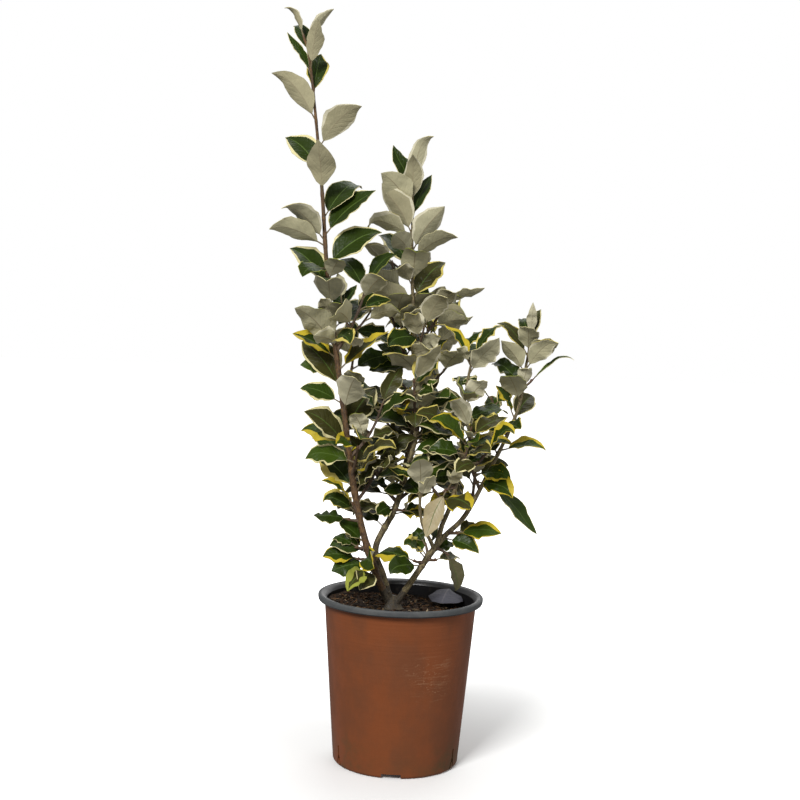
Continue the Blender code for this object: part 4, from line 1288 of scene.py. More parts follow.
def grow_plant(taken):
    """Every stem by name, as its line, its own masses and those of its side shoots."""
    plant = {}
    planned = []
    for stem in STEMS:
        shoot = Shoot(Path(metres(stem.route)), stem.radii[0] * MM, stem.radii[1] * MM)
        plant[stem.bough] = (shoot, split_stem(stem, shoot, FOOT_ARM + GAP, taken), [])
        planned.append((stem.growth, *plant[stem.bough][:2]))
    for branch in BRANCHES:
        stem = branch.stem
        parent = plant[branch.parent][0]
        fork = parent.path.at_height(branch.height * MM)
        route = [parent.path.at(fork)] + metres(stem.route)
        shoot = Shoot(Path(route), stem.radii[0] * MM, stem.radii[1] * MM)
        plant[stem.bough] = (shoot, split_stem(stem, shoot, parent.radius(fork) + ROOT_CLEAR, taken), [])
        planned.append((stem.growth, *plant[stem.bough][:2]))
    for side in SIDES:
        growth, shoot, masses = plan_side(side, plant[side.parent][0], taken)
        plant[side.parent][2].extend(masses)
        planned.append((growth, shoot, masses))
    for growth, shoot, masses in planned:
        grow_leaves(shoot, masses, growth, taken)
    return plant


def leaf_count(name):
    """How many leaves a stem and its side shoots carry."""
    return sum(len(mass.leaves) for mass in plant[name][1] + plant[name][2])


plant = grow_plant(taken)
print("leaves:", {name: leaf_count(name) for name in plant})

# %% [markdown]
# The solids hold the leaves that make the outline. The real shrub also has smaller ones, deeper inside,
# on finer twigs. The same two rules place them, at random along the shoots between the others, and only
# where there is still room. They are shorter than the leaves round them, so the outline hardly grows.

# %% Carry the growth on to finer twigs
EXTRA_TRIES = {"left_leader": 34, "central_stem": 130, "right_stem": 20, "middle_right_stem": 44,
               "back_stem": 30, "front_spur": 6}
EXTRA_LEAF = (38, 56)
STEEP_SHARE = 0.5
STEEP = ((190, 350), (45, 78))
FLAT = ((0, 360), (-18, 35))
EXTRA_TWIGS = 0.35
EXTRA_TOP = 0.54
EXTRA_SEED = 5


def carry_on(name, tries, chance):
    """Tries some small leaves and twigs at random places along a stem and its side shoots."""
    shoot, own, sides = plant[name]
    masses = [mass for mass in own + sides if mass.shoot.path.at(mass.start).z < EXTRA_TOP]
    weights = [mass.end - mass.start for mass in masses]
    for i in range(tries):
        mass = chance.choices(masses, weights)[0]
        place = chance.uniform(mass.start + START_INSET, max(mass.start + START_INSET, mass.end - END_INSET))
        azimuths, rises = STEEP if chance.random() < STEEP_SHARE else FLAT
        azimuth = chance.uniform(*azimuths)
        rise = chance.uniform(*rises)
        length = chance.uniform(*EXTRA_LEAF) * MM
        if chance.random() < EXTRA_TWIGS:
            place_twig(mass, mass.name, mass.shoot, place, azimuth, rise + TWIG_LIFT, length, chance, taken)
        else:
            place_leaf(mass, mass.name, mass.shoot, place, azimuth, rise, length, LEAF_WIDTH, chance, taken)


chance = random.Random(EXTRA_SEED)
for name, tries in EXTRA_TRIES.items():
    carry_on(name, tries, chance)
print("leaves now:", {name: leaf_count(name) for name in plant})

# %% [markdown]
# Some leaves that the photograph shows are still missing: low on the boughs, where they stand in tufts
# round the short spurs, and here and there on the shoots above. Each is listed with the height of its
# foot, its direction and its size, but it passes the same test of room as all the others. A tuft's
# leaves grow straight from the bough beside its spur, because the spur itself has no room left.

# %% Add the leaves that the rule left out
Shown = namedtuple("Shown", "height azimuth rise length width kind", defaults=("",))
SHOWN_LEAVES = {
    "left_low_leaves": (Shown(228, 200, -10, 46, 0.32), Shown(240, 186, 12, 44, 0.34, "pale")),
    "left_low_front_leaves": (Shown(249, 196, 40, 42, 0.34, "pale"), Shown(244, 168, 20, 40, 0.3)),
    "left_dark_leaves": (Shown(286, 190, 24, 46, 0.34), Shown(283, 172, 30, 42, 0.3)),
    "left_hanging_leaves": (Shown(222, 262, -18, 40, 0.34, "dull"),),
    "low_front_leaves": (Shown(236, 232, 40, 38, 0.34), Shown(228, 205, -8, 46, 0.3)),
    "low_upright_leaves": (Shown(246, 222, 66, 38, 0.34, "pale"), Shown(238, 150, 40, 36, 0.3)),
    "low_right_leaves": (Shown(242, 342, 14, 40, 0.34),),
    "low_outer_leaves": (Shown(262, 335, -18, 44, 0.3),),
    "central_lowest_leaves": (Shown(280, 200, 12, 46, 0.32, "dull"), Shown(292, 190, -12, 44, 0.3),
                              Shown(266, 172, 34, 40, 0.3)),
    "central_outer_leaves": (Shown(282, 340, 14, 42, 0.32),),
    "leader_high_leaves": (Shown(600, 25, 48, 76, 0.27, "dark"), Shown(588, 190, 18, 66, 0.24, "pale")),
    "central_tip_leaves": (Shown(634, 215, 42, 60, 0.27, "pale"), Shown(606, 160, 28, 66, 0.25, "edged")),
    "central_high_leaves": (Shown(580, 335, 26, 62, 0.25, "pale"),),
    "middle_right_tip_leaves": (Shown(456, 70, 60, 66, 0.2, "dark"),),
    "right_tip_leaves": (Shown(480, 120, 58, 50, 0.18, "dark"), Shown(452, 205, 46, 48, 0.27, "pale")),
    "right_low_leaves": (Shown(400, 215, 60, 44, 0.2, "gold"),),
    "leader_low_leaves": (Shown(364, 168, 18, 58, 0.3, "gold"),),
    "leader_tip_leaves": (Shown(776, 182, 60, 56, 0.12, "pale"),),
}
CURLED_MASS = "right_hanging_leaves"
CURLED_ROLL = 50
CURLED_WIDTH = 0.27


def find_homes():
    """Every mass by name, with the limb that its added leaves may touch, and the stem they grow on."""
    found = {}
    for stem, (shoot, own, sides) in plant.items():
        found.update({mass.name: (mass, mass.name, shoot) for mass in own})
        found.update({mass.name: (mass, stem, shoot) for mass in sides})
    return found


def add_shown(home, shown, chance):
    """Tries one of these leaves, and notes its kind where it grew."""
    mass, owner, shoot = home
    place = shoot.path.at_height(shown.height * MM)
    if not place_leaf(mass, owner, shoot, place, shown.azimuth, shown.rise, shown.length * MM, shown.width,
                      chance, taken):
        print("a leaf of", mass.name, "at", shown.height, "mm had no room")
    elif shown.kind:
        kinds[mass.name, len(mass.leaves) - 1] = shown.kind


kinds = {}
homes = find_homes()
for name, leaves in SHOWN_LEAVES.items():
    for shown in leaves:
        add_shown(homes[name], shown, chance)
curled = homes[CURLED_MASS][0].leaves
curled[0] = curled[0]._replace(roll=CURLED_ROLL, width=CURLED_WIDTH)
print("leaves in all:", {name: leaf_count(name) for name in plant})

# %% [markdown]
# Young elaeagnus bark is smooth and scurfy, reddish brown on strong new shoots and grey-brown on the
# older wood, with pale streaks that run along it. The streaks have to follow each bent limb, and plain
# object coordinates would cut across it. So each limb carries its own coordinates as an attribute: the
# cosine and sine of the way round it, and the distance along it. The pattern then has no seam.

# %% Finish the bark
def bark_finish(name, dark, light, scurf):
    """Streaks along the limb, fine flecks across it, and darker blotches over both."""
    finish = Finish(name, dark, 0.75)
    streaks = finish.cloud(finish.along("bark_place", (1.6, 1.6, 22)), 1.0, 4, 0.65).steps(0.40, 0.60)
    flecks = finish.cloud(finish.along("bark_place", (3.0, 3.0, 260)), 1.0, 3, 0.6).steps(0.56, 0.68)
    blotches = finish.cloud(finish.place(), 46, 3).steps(0.42, 0.62)
    bark = finish.mix(streaks, dark, light)
    bark = finish.mix(blotches * 0.5, bark, dark)
    finish.shade("Base Color", finish.mix(flecks * 0.7, bark, scurf))
    finish.shade("Roughness", 0.55 + streaks * 0.3)
    finish.relief(streaks * 0.7 + flecks * 0.3, 0.5 * MM, 0.7)
    return finish


RED_BARK = bark_finish("red_brown_bark", (0.046, 0.021, 0.008), (0.145, 0.076, 0.026), (0.27, 0.19, 0.08))
GREY_BARK = bark_finish("grey_brown_bark", (0.064, 0.045, 0.020), (0.245, 0.192, 0.090), (0.46, 0.40, 0.22))
OLD_BARK = bark_finish("olive_grey_bark", (0.020, 0.014, 0.008), (0.070, 0.053, 0.030), (0.14, 0.115, 0.07))
print("bark finishes", [finish.material.name for finish in (RED_BARK, GREY_BARK, OLD_BARK)])

# %% [markdown]
# A limb starts as a flat grid. Its rows are laid along the limb's line and its columns are rolled round
# it, and the seam is merged, which makes a tube that bends and tapers as the limb does. A curve with a
# bevel would be shorter to write. A grid can also swell at every leaf, where the real twig has a joint,
# and it carries the ridges of the old wood and the bark's own coordinates.

# %% Roll a limb out of a grid
NODE_SWELLING = 0.16
NODE_LENGTH = 2.6 * MM
COLLAR = 0.45
COLLAR_LENGTH = 5 * MM
RIDGE = 0.05
SEAM = 0.002 * MM


def bark_radius(shoot, distance, angle, collar, rough):
    """The limb's radius with its joints, the collar at its foot, and ridges along it."""
    radius = shoot.radius(distance)
    swell = sum(math.exp(-((distance - node) / NODE_LENGTH) ** 2) for node in shoot.nodes)
    around = Vector((math.cos(angle), math.sin(angle), distance * 14))
    ridge = noise.fractal(around * 1.7 + Vector((shoot.radii[0] * 9999, 0, 0)), 0.9, 2.0, 3)
    return radius * (1 + NODE_SWELLING * min(1, swell) + collar * math.exp(-distance / COLLAR_LENGTH)
                     + rough * ridge)


def bark_layer(bm):
    """The layer that holds the bark's own coordinates."""
    return bm.verts.layers.float_vector.get("bark_place") or bm.verts.layers.float_vector.new("bark_place")


def close_tube(bm, made):
    """Merges the seam of a rolled grid, and closes its ends."""
    bmesh.ops.remove_doubles(bm, verts=made, dist=SEAM)
    left = [vert for vert in made if vert.is_valid]
    rims = list({edge for vert in left for edge in vert.link_edges if edge.is_boundary})
    bmesh.ops.holes_fill(bm, edges=rims, sides=0)


def roll_limb(bm, shoot, start, end, kind, collar=COLLAR, rough=RIDGE):
    """A grid rolled into a closed tube along a limb."""
    sides, step = kind
    place = bark_layer(bm)
    count = max(2, round((end - start) / step))
    made = bmesh.ops.create_grid(bm, x_segments=count, y_segments=sides, size=0.5)["verts"]
    middle = shoot.path.heading((start + end) / 2)
    frames = [shoot.frame(blend(start, end, i / count), middle) for i in range(count + 1)]
    for vert in made:
        row = round((vert.co.x + 0.5) * count)
        angle = math.tau * round((vert.co.y + 0.5) * sides) / sides
        distance = blend(start, end, row / count)
        centre, side, front = frames[row]
        radius = bark_radius(shoot, distance, angle, collar, rough)
        vert.co = centre + radius * (math.cos(angle) * side + math.sin(angle) * front)
        vert[place] = (math.cos(angle), math.sin(angle), distance * 10)
    close_tube(bm, made)


print("a joint swells a limb by", round(NODE_SWELLING * 100), "per cent")

# %% [markdown]
# The foot is a short stool that forks into the three stems. It flares where it meets the compost, in three
# lobes where roots set out, and beside the stems stands the stub of one that was cut away. Each stem's
# lowest stretch is rolled as any limb is, and the flare is a grid of its own, closed at both ends.

# %% Make the foot
ARM_KIND = (20, 1.6 * MM)
ARM_START = 3 * MM
ARM_RIDGE = 0.10
STUB_KIND = (14, 1.6 * MM)
STUB_HEADING = (215, 62)
STUB_LENGTH = 14 * MM
STUB_RADII = (3.4 * MM, 2.8 * MM)
STUB_RIDGE = 0.12
FOOT_ROWS = 14
FOOT_SIDES = 28
FOOT_FLARE = 12 * MM
FOOT_WAIST = 7 * MM
FOOT_HEIGHT = 15 * MM
FOOT_LOBES = 0.13
FOOT_KNOBS = 0.08
BARK_SHARP = 60


def roll_foot(bm):
    """A lobed flare from a flat cut at the ground, narrowing to its waist and closing above it."""
    place = bark_layer(bm)
    made = bmesh.ops.create_grid(bm, x_segments=FOOT_ROWS, y_segments=FOOT_SIDES, size=0.5)["verts"]
    for vert in made:
        share = vert.co.x + 0.5
        angle = math.tau * round((vert.co.y + 0.5) * FOOT_SIDES) / FOOT_SIDES
        along, across = math.cos(angle), math.sin(angle)
        closing = 1 - 0.5 * max(0, share - 0.7) / 0.3
        size = blend(FOOT_FLARE, FOOT_WAIST, min(1, share * 1.6) ** 0.6) * closing
        size *= 1 + FOOT_LOBES * (1 - share) * math.cos(3 * angle + 0.6)
        size *= 1 + FOOT_KNOBS * noise.noise(Vector((along * 3, across * 3, share * 1.5)))
        vert.co = FOOT_CENTRE + Vector((size * along, size * across, GROUND + FOOT_HEIGHT * share))
        vert[place] = (along * 2, across * 2, share * 0.15)
    close_tube(bm, made)


def foot_bark():
    """The stool: the feet of the three stems, the stub of a lost one, and the flare under them."""
    bm = bmesh.new()
    for stem in STEMS:
        roll_limb(bm, plant[stem.bough][0], ARM_START, FOOT_ARM + 1 * MM, ARM_KIND, 0, ARM_RIDGE)
    middle = FOOT_CENTRE + Vector((0, 0, GROUND + FOOT_HEIGHT * 0.5))
    stub = Shoot(Path((middle, middle + flat_direction(*STUB_HEADING) * STUB_LENGTH)), *STUB_RADII)
    roll_limb(bm, stub, 0, STUB_LENGTH, STUB_KIND, 0, STUB_RIDGE)
    roll_foot(bm)
    bmesh.ops.recalc_face_normals(bm, faces=bm.faces)
    return bm


dress("foot_bark", foot_bark(), [OLD_BARK], ["foot"], BARK_SHARP)

# %% [markdown]
# The boughs are rolled in the same way, one for each stem and branch. The left leader is a strong new
# shoot, so it gets the reddish bark. A branch swells to a collar where it leaves its parent, while a stem
# simply goes on from the foot.

# %% Make the boughs
BOUGH_KIND = (14, 2.4 * MM)
BRANCH_START = 1 * MM


def bough_bark(shoot, start, collar):
    """One bough, from its foot to where its tip is hidden among the leaves."""
    bm = bmesh.new()
    roll_limb(bm, shoot, start, shoot.path.length, BOUGH_KIND, collar)
    bmesh.ops.recalc_face_normals(bm, faces=bm.faces)
    return bm


for name, (shoot, own, sides) in plant.items():
    finish = RED_BARK if name == "left_leader" else GREY_BARK
    is_stem = name in [stem.bough for stem in STEMS]
    bark = bough_bark(shoot, FOOT_ARM, 0) if is_stem else bough_bark(shoot, BRANCH_START, COLLAR)
    dress(name + "_bark", bark, [finish], [name], BARK_SHARP)

# %% [markdown]
# Side shoots and twigs are young wood, browner and smoother than the boughs, but streaked in the same
# way. Leaf stalks are tan and buds rusty, both with a fine scurf. They are far too thin to show streaks,
# so their finish is a plainer one.

# %% Finish the young wood
def plain_wood(name, colour, patch):
    """A plain colour under a fine scurf."""
    finish = Finish(name, colour, 0.6)
    scurf = finish.cloud(finish.place(), 520, 3, 0.6).steps(0.42, 0.66)
    finish.shade("Base Color", finish.mix(scurf * 0.6, colour, patch))
    finish.shade("Roughness", scurf * 0.25 + 0.5)
    finish.relief(scurf, 0.2 * MM, 0.5)
    return finish


TWIG_FINISHES = [bark_finish("young_bark", (0.055, 0.030, 0.018), (0.140, 0.090, 0.055), (0.24, 0.19, 0.12)),
                 plain_wood("leaf_stalk", (0.130, 0.095, 0.045), (0.210, 0.170, 0.095)),
                 plain_wood("rust_bud", (0.075, 0.032, 0.014), (0.150, 0.080, 0.035))]
print("young wood", [finish.material.name for finish in TWIG_FINISHES])

# %% [markdown]
# Each leaf has a stalk and a bud in the angle above it, and every shoot ends in a pointed bud. A stalk
# is repeated hundreds of times, so it is only a six-sided cone, and a bud is a ball of twenty faces
# drawn out to a point. All the fine wood of a stem is one piece.

# %% Make the twigs, stalks and buds
TWIG_KIND = (9, 3 * MM)
SIDE_START = 1 * MM
TWIG_START = 0.5 * MM
STALK_RADII = (1.05 * MM, 0.7 * MM)
STALK_SUNK = 1.5 * MM
STALK_LOOK = 1
BUD = (1.0 * MM, 2.6 * MM)
BUD_LOOK = 2
BUD_LIFT = 38
BUD_STEEPEST = 85
TIP_BUD = 1.5


def paint(verts, look):
    """Gives the faces round some vertices one of their piece's finishes, by its number."""
    for face in {face for vert in verts for face in vert.link_faces}:
        face.material_index = look


def pointed(start, heading, length):
    """The matrix that lays a shape's own Z along a heading, from a starting point."""
    turn = heading.to_track_quat("Z", "Y").to_matrix().to_4x4()
    return Matrix.Translation(start + heading * length / 2) @ turn


def add_stalk(bm, leaf):
    """A tapering stalk from the middle of the twig to just under the blade."""
    heading = leaf_start(leaf)[0]
    length = leaf.radius + PETIOLE + STALK_SUNK
    thick, thin = STALK_RADII
    made = bmesh.ops.create_cone(bm, cap_ends=True, segments=6, radius1=thick, radius2=thin, depth=length,
                                 matrix=pointed(leaf.root, heading, length))["verts"]
    paint(made, STALK_LOOK)


def add_bud(bm, root, heading, radius, size=1.0):
    """A small pointed bud standing on a limb's bark."""
    wide, tall = BUD[0] * size, BUD[1] * size
    made = bmesh.ops.create_icosphere(bm, subdivisions=1, radius=1)["verts"]
    for vert in made:
        vert.co.xy *= 1 - 0.35 * vert.co.z
    bmesh.ops.scale(bm, verts=made, vec=(wide, wide, tall))
    bmesh.ops.transform(bm, verts=made, matrix=pointed(root + heading * radius, heading, tall * 0.6))
    paint(made, BUD_LOOK)


def twig_wood(shoot, own, sides):
    """All the fine wood of one stem: side shoots, twigs, stalks and buds."""
    bm = bmesh.new()
    for mass in sides:
        roll_limb(bm, mass.shoot, SIDE_START, mass.shoot.path.length, TWIG_KIND)
    for mass in own + sides:
        for twig in mass.twigs:
            roll_limb(bm, twig, TWIG_START, twig.path.length, TWIG_KIND)
        for leaf in mass.leaves:
            add_stalk(bm, leaf)
            above = flat_direction(leaf.azimuth, min(BUD_STEEPEST, leaf.rise + BUD_LIFT))
            add_bud(bm, leaf.root, above, leaf.radius)
    for line in [shoot] + [mass.shoot for mass in sides]:
        tip = line.path.length
        add_bud(bm, line.path.at(tip), line.path.heading(tip), 0, TIP_BUD)
    bmesh.ops.recalc_face_normals(bm, faces=bm.faces)
    return bm


for name, (shoot, own, sides) in plant.items():
    dress(name + "_twigs", twig_wood(shoot, own, sides), TWIG_FINISHES, (), BARK_SHARP)

# %% [markdown]
# The leaves are leathery and glossy, dark green above and silvery beige beneath. Their margins are
# splashed with yellow or edged with cream, by different amounts on every leaf. Each patch of colour is
# a material of its own on whole faces, because a colour painted by a pattern gets smeared when a small
# piece is baked. What varies over the leaf is only its sheen and its veins, which come from the leaf's
# own coordinates: the share along it, the place across it, and a number of its own.

# %% Finish the leaves
GREENS = ((0.017, 0.031, 0.002), (0.023, 0.043, 0.003), (0.034, 0.061, 0.004), (0.040, 0.039, 0.009),
          (0.018, 0.033, 0.004), (0.105, 0.095, 0.045), (0.32, 0.265, 0.155))
MARGINS = ((0.46, 0.355, 0.026), (0.53, 0.44, 0.11), (0.60, 0.54, 0.28), (0.28, 0.30, 0.05),
           (0.085, 0.080, 0.035), (0.33, 0.27, 0.15))
# The last underside, a dark lilac grey for the fallen leaf, is painted shade and a painted reflection of the
# sky.
UNDERSIDES = ((0.49, 0.455, 0.31), (0.43, 0.40, 0.25), (0.375, 0.35, 0.225), (0.325, 0.295, 0.18),
              (0.30, 0.255, 0.15), (0.056, 0.055, 0.068))
PALE_RIM = (0.58, 0.54, 0.39)
# The last rib, a lilac grey for the fallen leaf, is painted shade and a painted reflection of the sky.
RIBS = ((0.070, 0.110, 0.022), (0.290, 0.250, 0.155), (0.075, 0.070, 0.080))


def leaf_finish(name, colour, roughness, depth):
    """A plain colour with veins and a fine scurf in its sheen and relief."""
    finish = Finish(name, colour, roughness, Specular_IOR_Level=0.16)
    place = finish.along("leaf_place")
    share = finish.part(place, "X")
    across = finish.part(place, "Y").maths("ABSOLUTE")
    veins = (share * 8 - across * 2.2).maths("PINGPONG", 0.5).steps(0.0, 0.2)
    scurf = finish.cloud(finish.place(), 700, 2, 0.6)
    puckers = finish.cloud(finish.place(), 110, 2, 0.5)
    finish.shade("Roughness", roughness + scurf * 0.25 - 0.12)
    finish.relief(veins * 0.2 + scurf * 0.05 + puckers * 1.6, depth, 0.8)
    return finish


LEAF_COLOURS = (("leaf_green", GREENS, 0.36, 0.9 * MM), ("leaf_margin", MARGINS, 0.42, 0.9 * MM),
                ("leaf_underside", UNDERSIDES, 0.6, 0.8 * MM), ("leaf_rim", [PALE_RIM], 0.6, 0.8 * MM),
                ("leaf_rib", RIBS, 0.5, 0.1 * MM))
LEAF_FINISHES = [leaf_finish("%s_%d" % (name, i), colour, roughness, depth)
                 for name, colours, roughness, depth in LEAF_COLOURS for i, colour in enumerate(colours)]
FIRST_MARGIN = len(GREENS)
FIRST_UNDERSIDE = FIRST_MARGIN + len(MARGINS)
RIM = FIRST_UNDERSIDE + len(UNDERSIDES)
FIRST_RIB = RIM + 1
# The fallen leaf's lilac-grey underside and rib are painted shade and a painted reflection of the sky.
UPPER_RIB, PALE_RIB, SHADE_AND_SKY_RIB = range(FIRST_RIB, FIRST_RIB + len(RIBS))
SHADE_AND_SKY_UNDER = 5
print(len(LEAF_FINISHES), "leaf finishes")

# %% [markdown]
# A look says which colours a leaf takes, how far its margin spreads over the blade and over the tip, how
# strongly it waves, and which side the margin is heavy on. Looks are dealt by chance, with other shares
# low down, in the middle and at the top. Leaves that stand alone in the photograph have looks of their
# own: the first leaf of some side shoots, and those that were added by kind.

# %% Deal the colours to the leaves
# The first three numbers of a look pick from GREENS, MARGINS and UNDERSIDES
Look = namedtuple("Look", "green margin under splash tip wave heavy", defaults=(0,))
Zone = namedtuple("Zone", "shares greens unders wave")
BOLD_BELOW = 0.34
PLAIN_ABOVE = 0.50
LOW_ZONE = Zone((0.38, 0.48, 0.14), (0, 1, 2, 3, 3, 3), (0, 0, 1, 1, 2, 3), 1)
MIDDLE_ZONE = Zone((0.26, 0.56, 0.18), (0, 0, 1, 1, 2, 3, 3, 4), (0, 0, 1, 1, 2, 3), 1)
# The top zone leaves out the palest underside and favours darker ones: painted shade that tones down the
# stronger lamp light on the top of the crown.
TOP_ZONE = Zone((0.0, 0.46, 0.54), (0, 0, 0, 3, 4, 4), (1, 2, 2, 3), 0.4)
WAVINESS = (0.6, 1.7)
BOLD_SPLASH = (0.26, 0.62)
BOLD_TIP = (0, 0.5)
THIN_SPLASH = (0.10, 0.22)
THIN_TIP = (0, 0.2)
OWN_LOOKS = {
    "right_hanging_leaves": Look(5, 4, 1, 0.1, 0.0, 0.4),
    "papery_leaves": Look(6, 5, 4, 0.3, 0.3, 1.6),
    "left_yellow_leaves": Look(1, 0, 1, 0.62, 0.2, 0.8, -1),
    "left_dark_leaves": Look(0, 2, 1, 0.06, 0.0, 1.2),
    "left_low_leaves": Look(1, 0, 2, 0.34, 0.6, 1.0, 1),
    "left_low_front_leaves": Look(1, 2, 2, 0.08, 0.0, 1.0),
    "left_hanging_leaves": Look(3, 3, 2, 0.5, 0.5, 1.0),
    "low_front_leaves": Look(0, 0, 0, 0.55, 0.2, 1.0, 1),
    "low_upright_leaves": Look(0, 2, 1, 0.1, 0.0, 1.2),
    "low_outer_leaves": Look(2, 0, 1, 0.36, 0.6, 0.8, 1),
    "right_drooping_leaves": Look(1, 2, 1, 0.08, 0.0, 0.6),
}

KIND_LOOKS = {
    "dark": Look(0, 2, 1, 0.07, 0.0, 0.7),
    "edged": Look(1, 1, 1, 0.24, 0.3, 0.7, 1),
    "gold": Look(1, 0, 0, 0.5, 0.4, 1.0, 1),
    "pale": Look(1, 2, 1, 0.08, 0.0, 0.5),
    "dull": Look(3, 2, 3, 0.12, 0.1, 1.0),
}


def deal_look(chance, height):
    """Bold yellow margins are common low down, thin cream ones in the middle, and few at the top.

    A bold margin is mostly on one side of its leaf.
    """
    zone = LOW_ZONE if height < BOLD_BELOW else TOP_ZONE if height > PLAIN_ABOVE else MIDDLE_ZONE
    kind = chance.choices(("bold", "thin", "none"), zone.shares)[0]
    green = chance.choice(zone.greens)
    under = chance.choice(zone.unders)
    wave = chance.uniform(*WAVINESS) * zone.wave
    if kind == "bold":
        heavy = chance.choice((-1, -1, 1, 1, 0))
        margin = chance.choice((0, 0, 1))
        splash, tip = chance.uniform(*BOLD_SPLASH), chance.uniform(*BOLD_TIP)
        return Look(green, margin, under, splash, tip, wave, heavy)
    if kind == "thin":
        margin = chance.choice((1, 2, 2))
        splash, tip = chance.uniform(*THIN_SPLASH), chance.uniform(*THIN_TIP)
        return Look(green, margin, under, splash, tip, wave)
    return Look(green, chance.choice((2, 3)), under, 0.05, 0.0, wave)


print("a low leaf:", deal_look(random.Random(1), 0.3))

# %% [markdown]
# Every blade follows its leaf's own line. Each row of it has a middle, a line across, and a side that is
# up. The line droops along its length, the tip curls, and a slow twist turns the rows about the line. The
# rows are worked out first, because every vertex of a row needs them.

# %% Bend the line of a blade
BLADE_ROWS = 11
CURL_FROM = 0.65


def blade_rows(leaf, curl, twist):
    """The middle, the line across and the normal for each row of a blade."""
    start, point, side = leaf_start(leaf)
    step = (leaf.length - PETIOLE) / BLADE_ROWS
    rows = []
    for i in range(BLADE_ROWS + 1):
        share = i / BLADE_ROWS
        droop = leaf.rise + ARCH * (0.5 - share) - curl * max(0, share - CURL_FROM) / (1 - CURL_FROM)
        heading = flat_direction(leaf.azimuth, droop)
        if i:
            point = point + heading * step
        across = (side - heading * side.dot(heading)).normalized()
        across.rotate(Matrix.Rotation(math.radians(twist * (share - 0.2)), 3, heading))
        rows.append((point, across, heading.cross(across)))
    return rows


print("a blade has", BLADE_ROWS + 1, "rows of vertices")

# %% [markdown]
# A blade's colours lie in five columns of faces: margin, green, rib, green and margin. Noise moves the line
# between margin and green row by row, so that yellow runs into the green in flames. The underside has
# colours of its own, with a pale rim where the margin above is broad.

# %% Colour the columns of a blade
LIGHT_SIDE = 0.25
MOST_SPLASH = 0.92
PLAIN_RIM = 0.09
FIRST_PLAIN_UNDER = 4


def blade_looks(look):
    """The finish of each column of a blade, from above and from below."""
    margin = FIRST_MARGIN + look.margin
    under = FIRST_UNDERSIDE + look.under
    edge = RIM if look.splash > PLAIN_RIM and look.under < FIRST_PLAIN_UNDER else under
    # The lilac-grey underside takes its own rib. Both are painted shade and a painted reflection of the sky.
    rib = SHADE_AND_SKY_RIB if look.under == SHADE_AND_SKY_UNDER else PALE_RIB
    return (margin, look.green, UPPER_RIB, look.green, margin), (edge, under, rib, under, edge)


def margin_line(look, share, way, own):
    """How far out the green ends, as a share of the half width. Noise makes it run in flames."""
    flame = noise.noise(Vector((share * 4.2, way * 7, own))) + 0.5
    light_side = LIGHT_SIDE if look.heavy == -way else 1
    splash = (look.splash * (0.35 + 1.3 * max(0, flame)) + look.tip * share ** 3) * light_side
    return 1 - min(MOST_SPLASH, splash)


print("finishes of a gold leaf, above and below:", blade_looks(KIND_LOOKS["gold"]))

# %% [markdown]
# A blade is a flat grid, eleven rows long and five columns wide, and each of its vertices is moved to its
# place about the leaf's line. The halves fold up, the edge is ragged, and waves run along it that die away
# towards the rib. A subdivided leaf would look smoother, but hundreds of them would be too heavy.

# %% Bend a blade
BLADE_COLUMNS = 5
RIB_HALF = 0.035
WAVE = 1.9 * MM
TIP_CURL = (12, 26)
TWIST = 22
FOLD_SPREAD = (-26, 10)
POINTED = (0, 0.24)
RIPPLES = (2.2, 3.8)


def ragged_half(leaf, share, way, own, point):
    """Half a blade's width on one side, a little uneven, and drawn out towards its ends."""
    half = max(0.8 * MM if share < 0.5 else 0.25 * MM, leaf_half(leaf, share))
    half *= 1 + 0.20 * noise.noise(Vector((share * 6, way * 3, own + 9)))
    return half * max(0.1, math.sin(math.pi * share ** 0.75)) ** point


def add_blade(bm, layer, leaf, look, chance):
    """One blade as a bent grid. Gives its faces, and the look of the underside for each."""
    before = len(bm.faces)
    made = bmesh.ops.create_grid(bm, x_segments=BLADE_ROWS, y_segments=BLADE_COLUMNS, size=0.5)["verts"]
    bm.faces.ensure_lookup_table()
    upper, below = blade_looks(look)
    faces, unders = bm.faces[before:], []
    for face in faces:
        column = int((face.calc_center_median().y + 0.5) * BLADE_COLUMNS)
        face.material_index = upper[column]
        unders.append(below[column])
    own = chance.uniform(0, 99)
    point_more = chance.uniform(*POINTED)
    waves = [(chance.uniform(*RIPPLES), chance.random()) for way in range(2)]
    loose = min(1, look.wave)
    fold = math.radians(FOLD + chance.uniform(*FOLD_SPREAD) * loose)
    rows = blade_rows(leaf, chance.gauss(*TIP_CURL), chance.gauss(0, TWIST) * loose)
    for vert in made:
        row = round((vert.co.x + 0.5) * BLADE_ROWS)
        column = round((vert.co.y + 0.5) * BLADE_COLUMNS)
        share = row / BLADE_ROWS
        way = -1 if column <= BLADE_COLUMNS // 2 else 1
        out = (1, margin_line(look, share, way, own), RIB_HALF)[min(column, BLADE_COLUMNS - column)]
        half = ragged_half(leaf, share, way, own, point_more)
        count, phase = waves[way > 0]
        ripple = math.sin(math.tau * (count * share + phase))
        ripple += 2 * noise.noise(Vector((share * 5, way * 5, own + 31)))
        wave = WAVE * look.wave * ripple * math.sin(math.pi * share ** 0.7) ** 0.5
        lift = half * out ** 1.4 * math.sin(fold) + wave * out ** 2 * min(1, half / (7 * MM))
        point, across, normal = rows[row]
        vert.co = point + across * way * out * half * math.cos(fold) + normal * lift
        vert[layer] = (share, way * out, own)
    return faces, unders


print("a blade has", BLADE_ROWS * BLADE_COLUMNS, "faces on each side")

# %% [markdown]
# All the blades of one stem make one piece. Solidify gives them their thickness together, and the new
# faces come in the order of the old ones, so the undersides can be coloured from a plain list. Each mass
# deals its looks from a seed of its own, so a change to one mass leaves the others as they are.

# %% Thicken and dress the blades
BLADE_THICKNESS = 0.5 * MM
BLADE_SHARP = 55


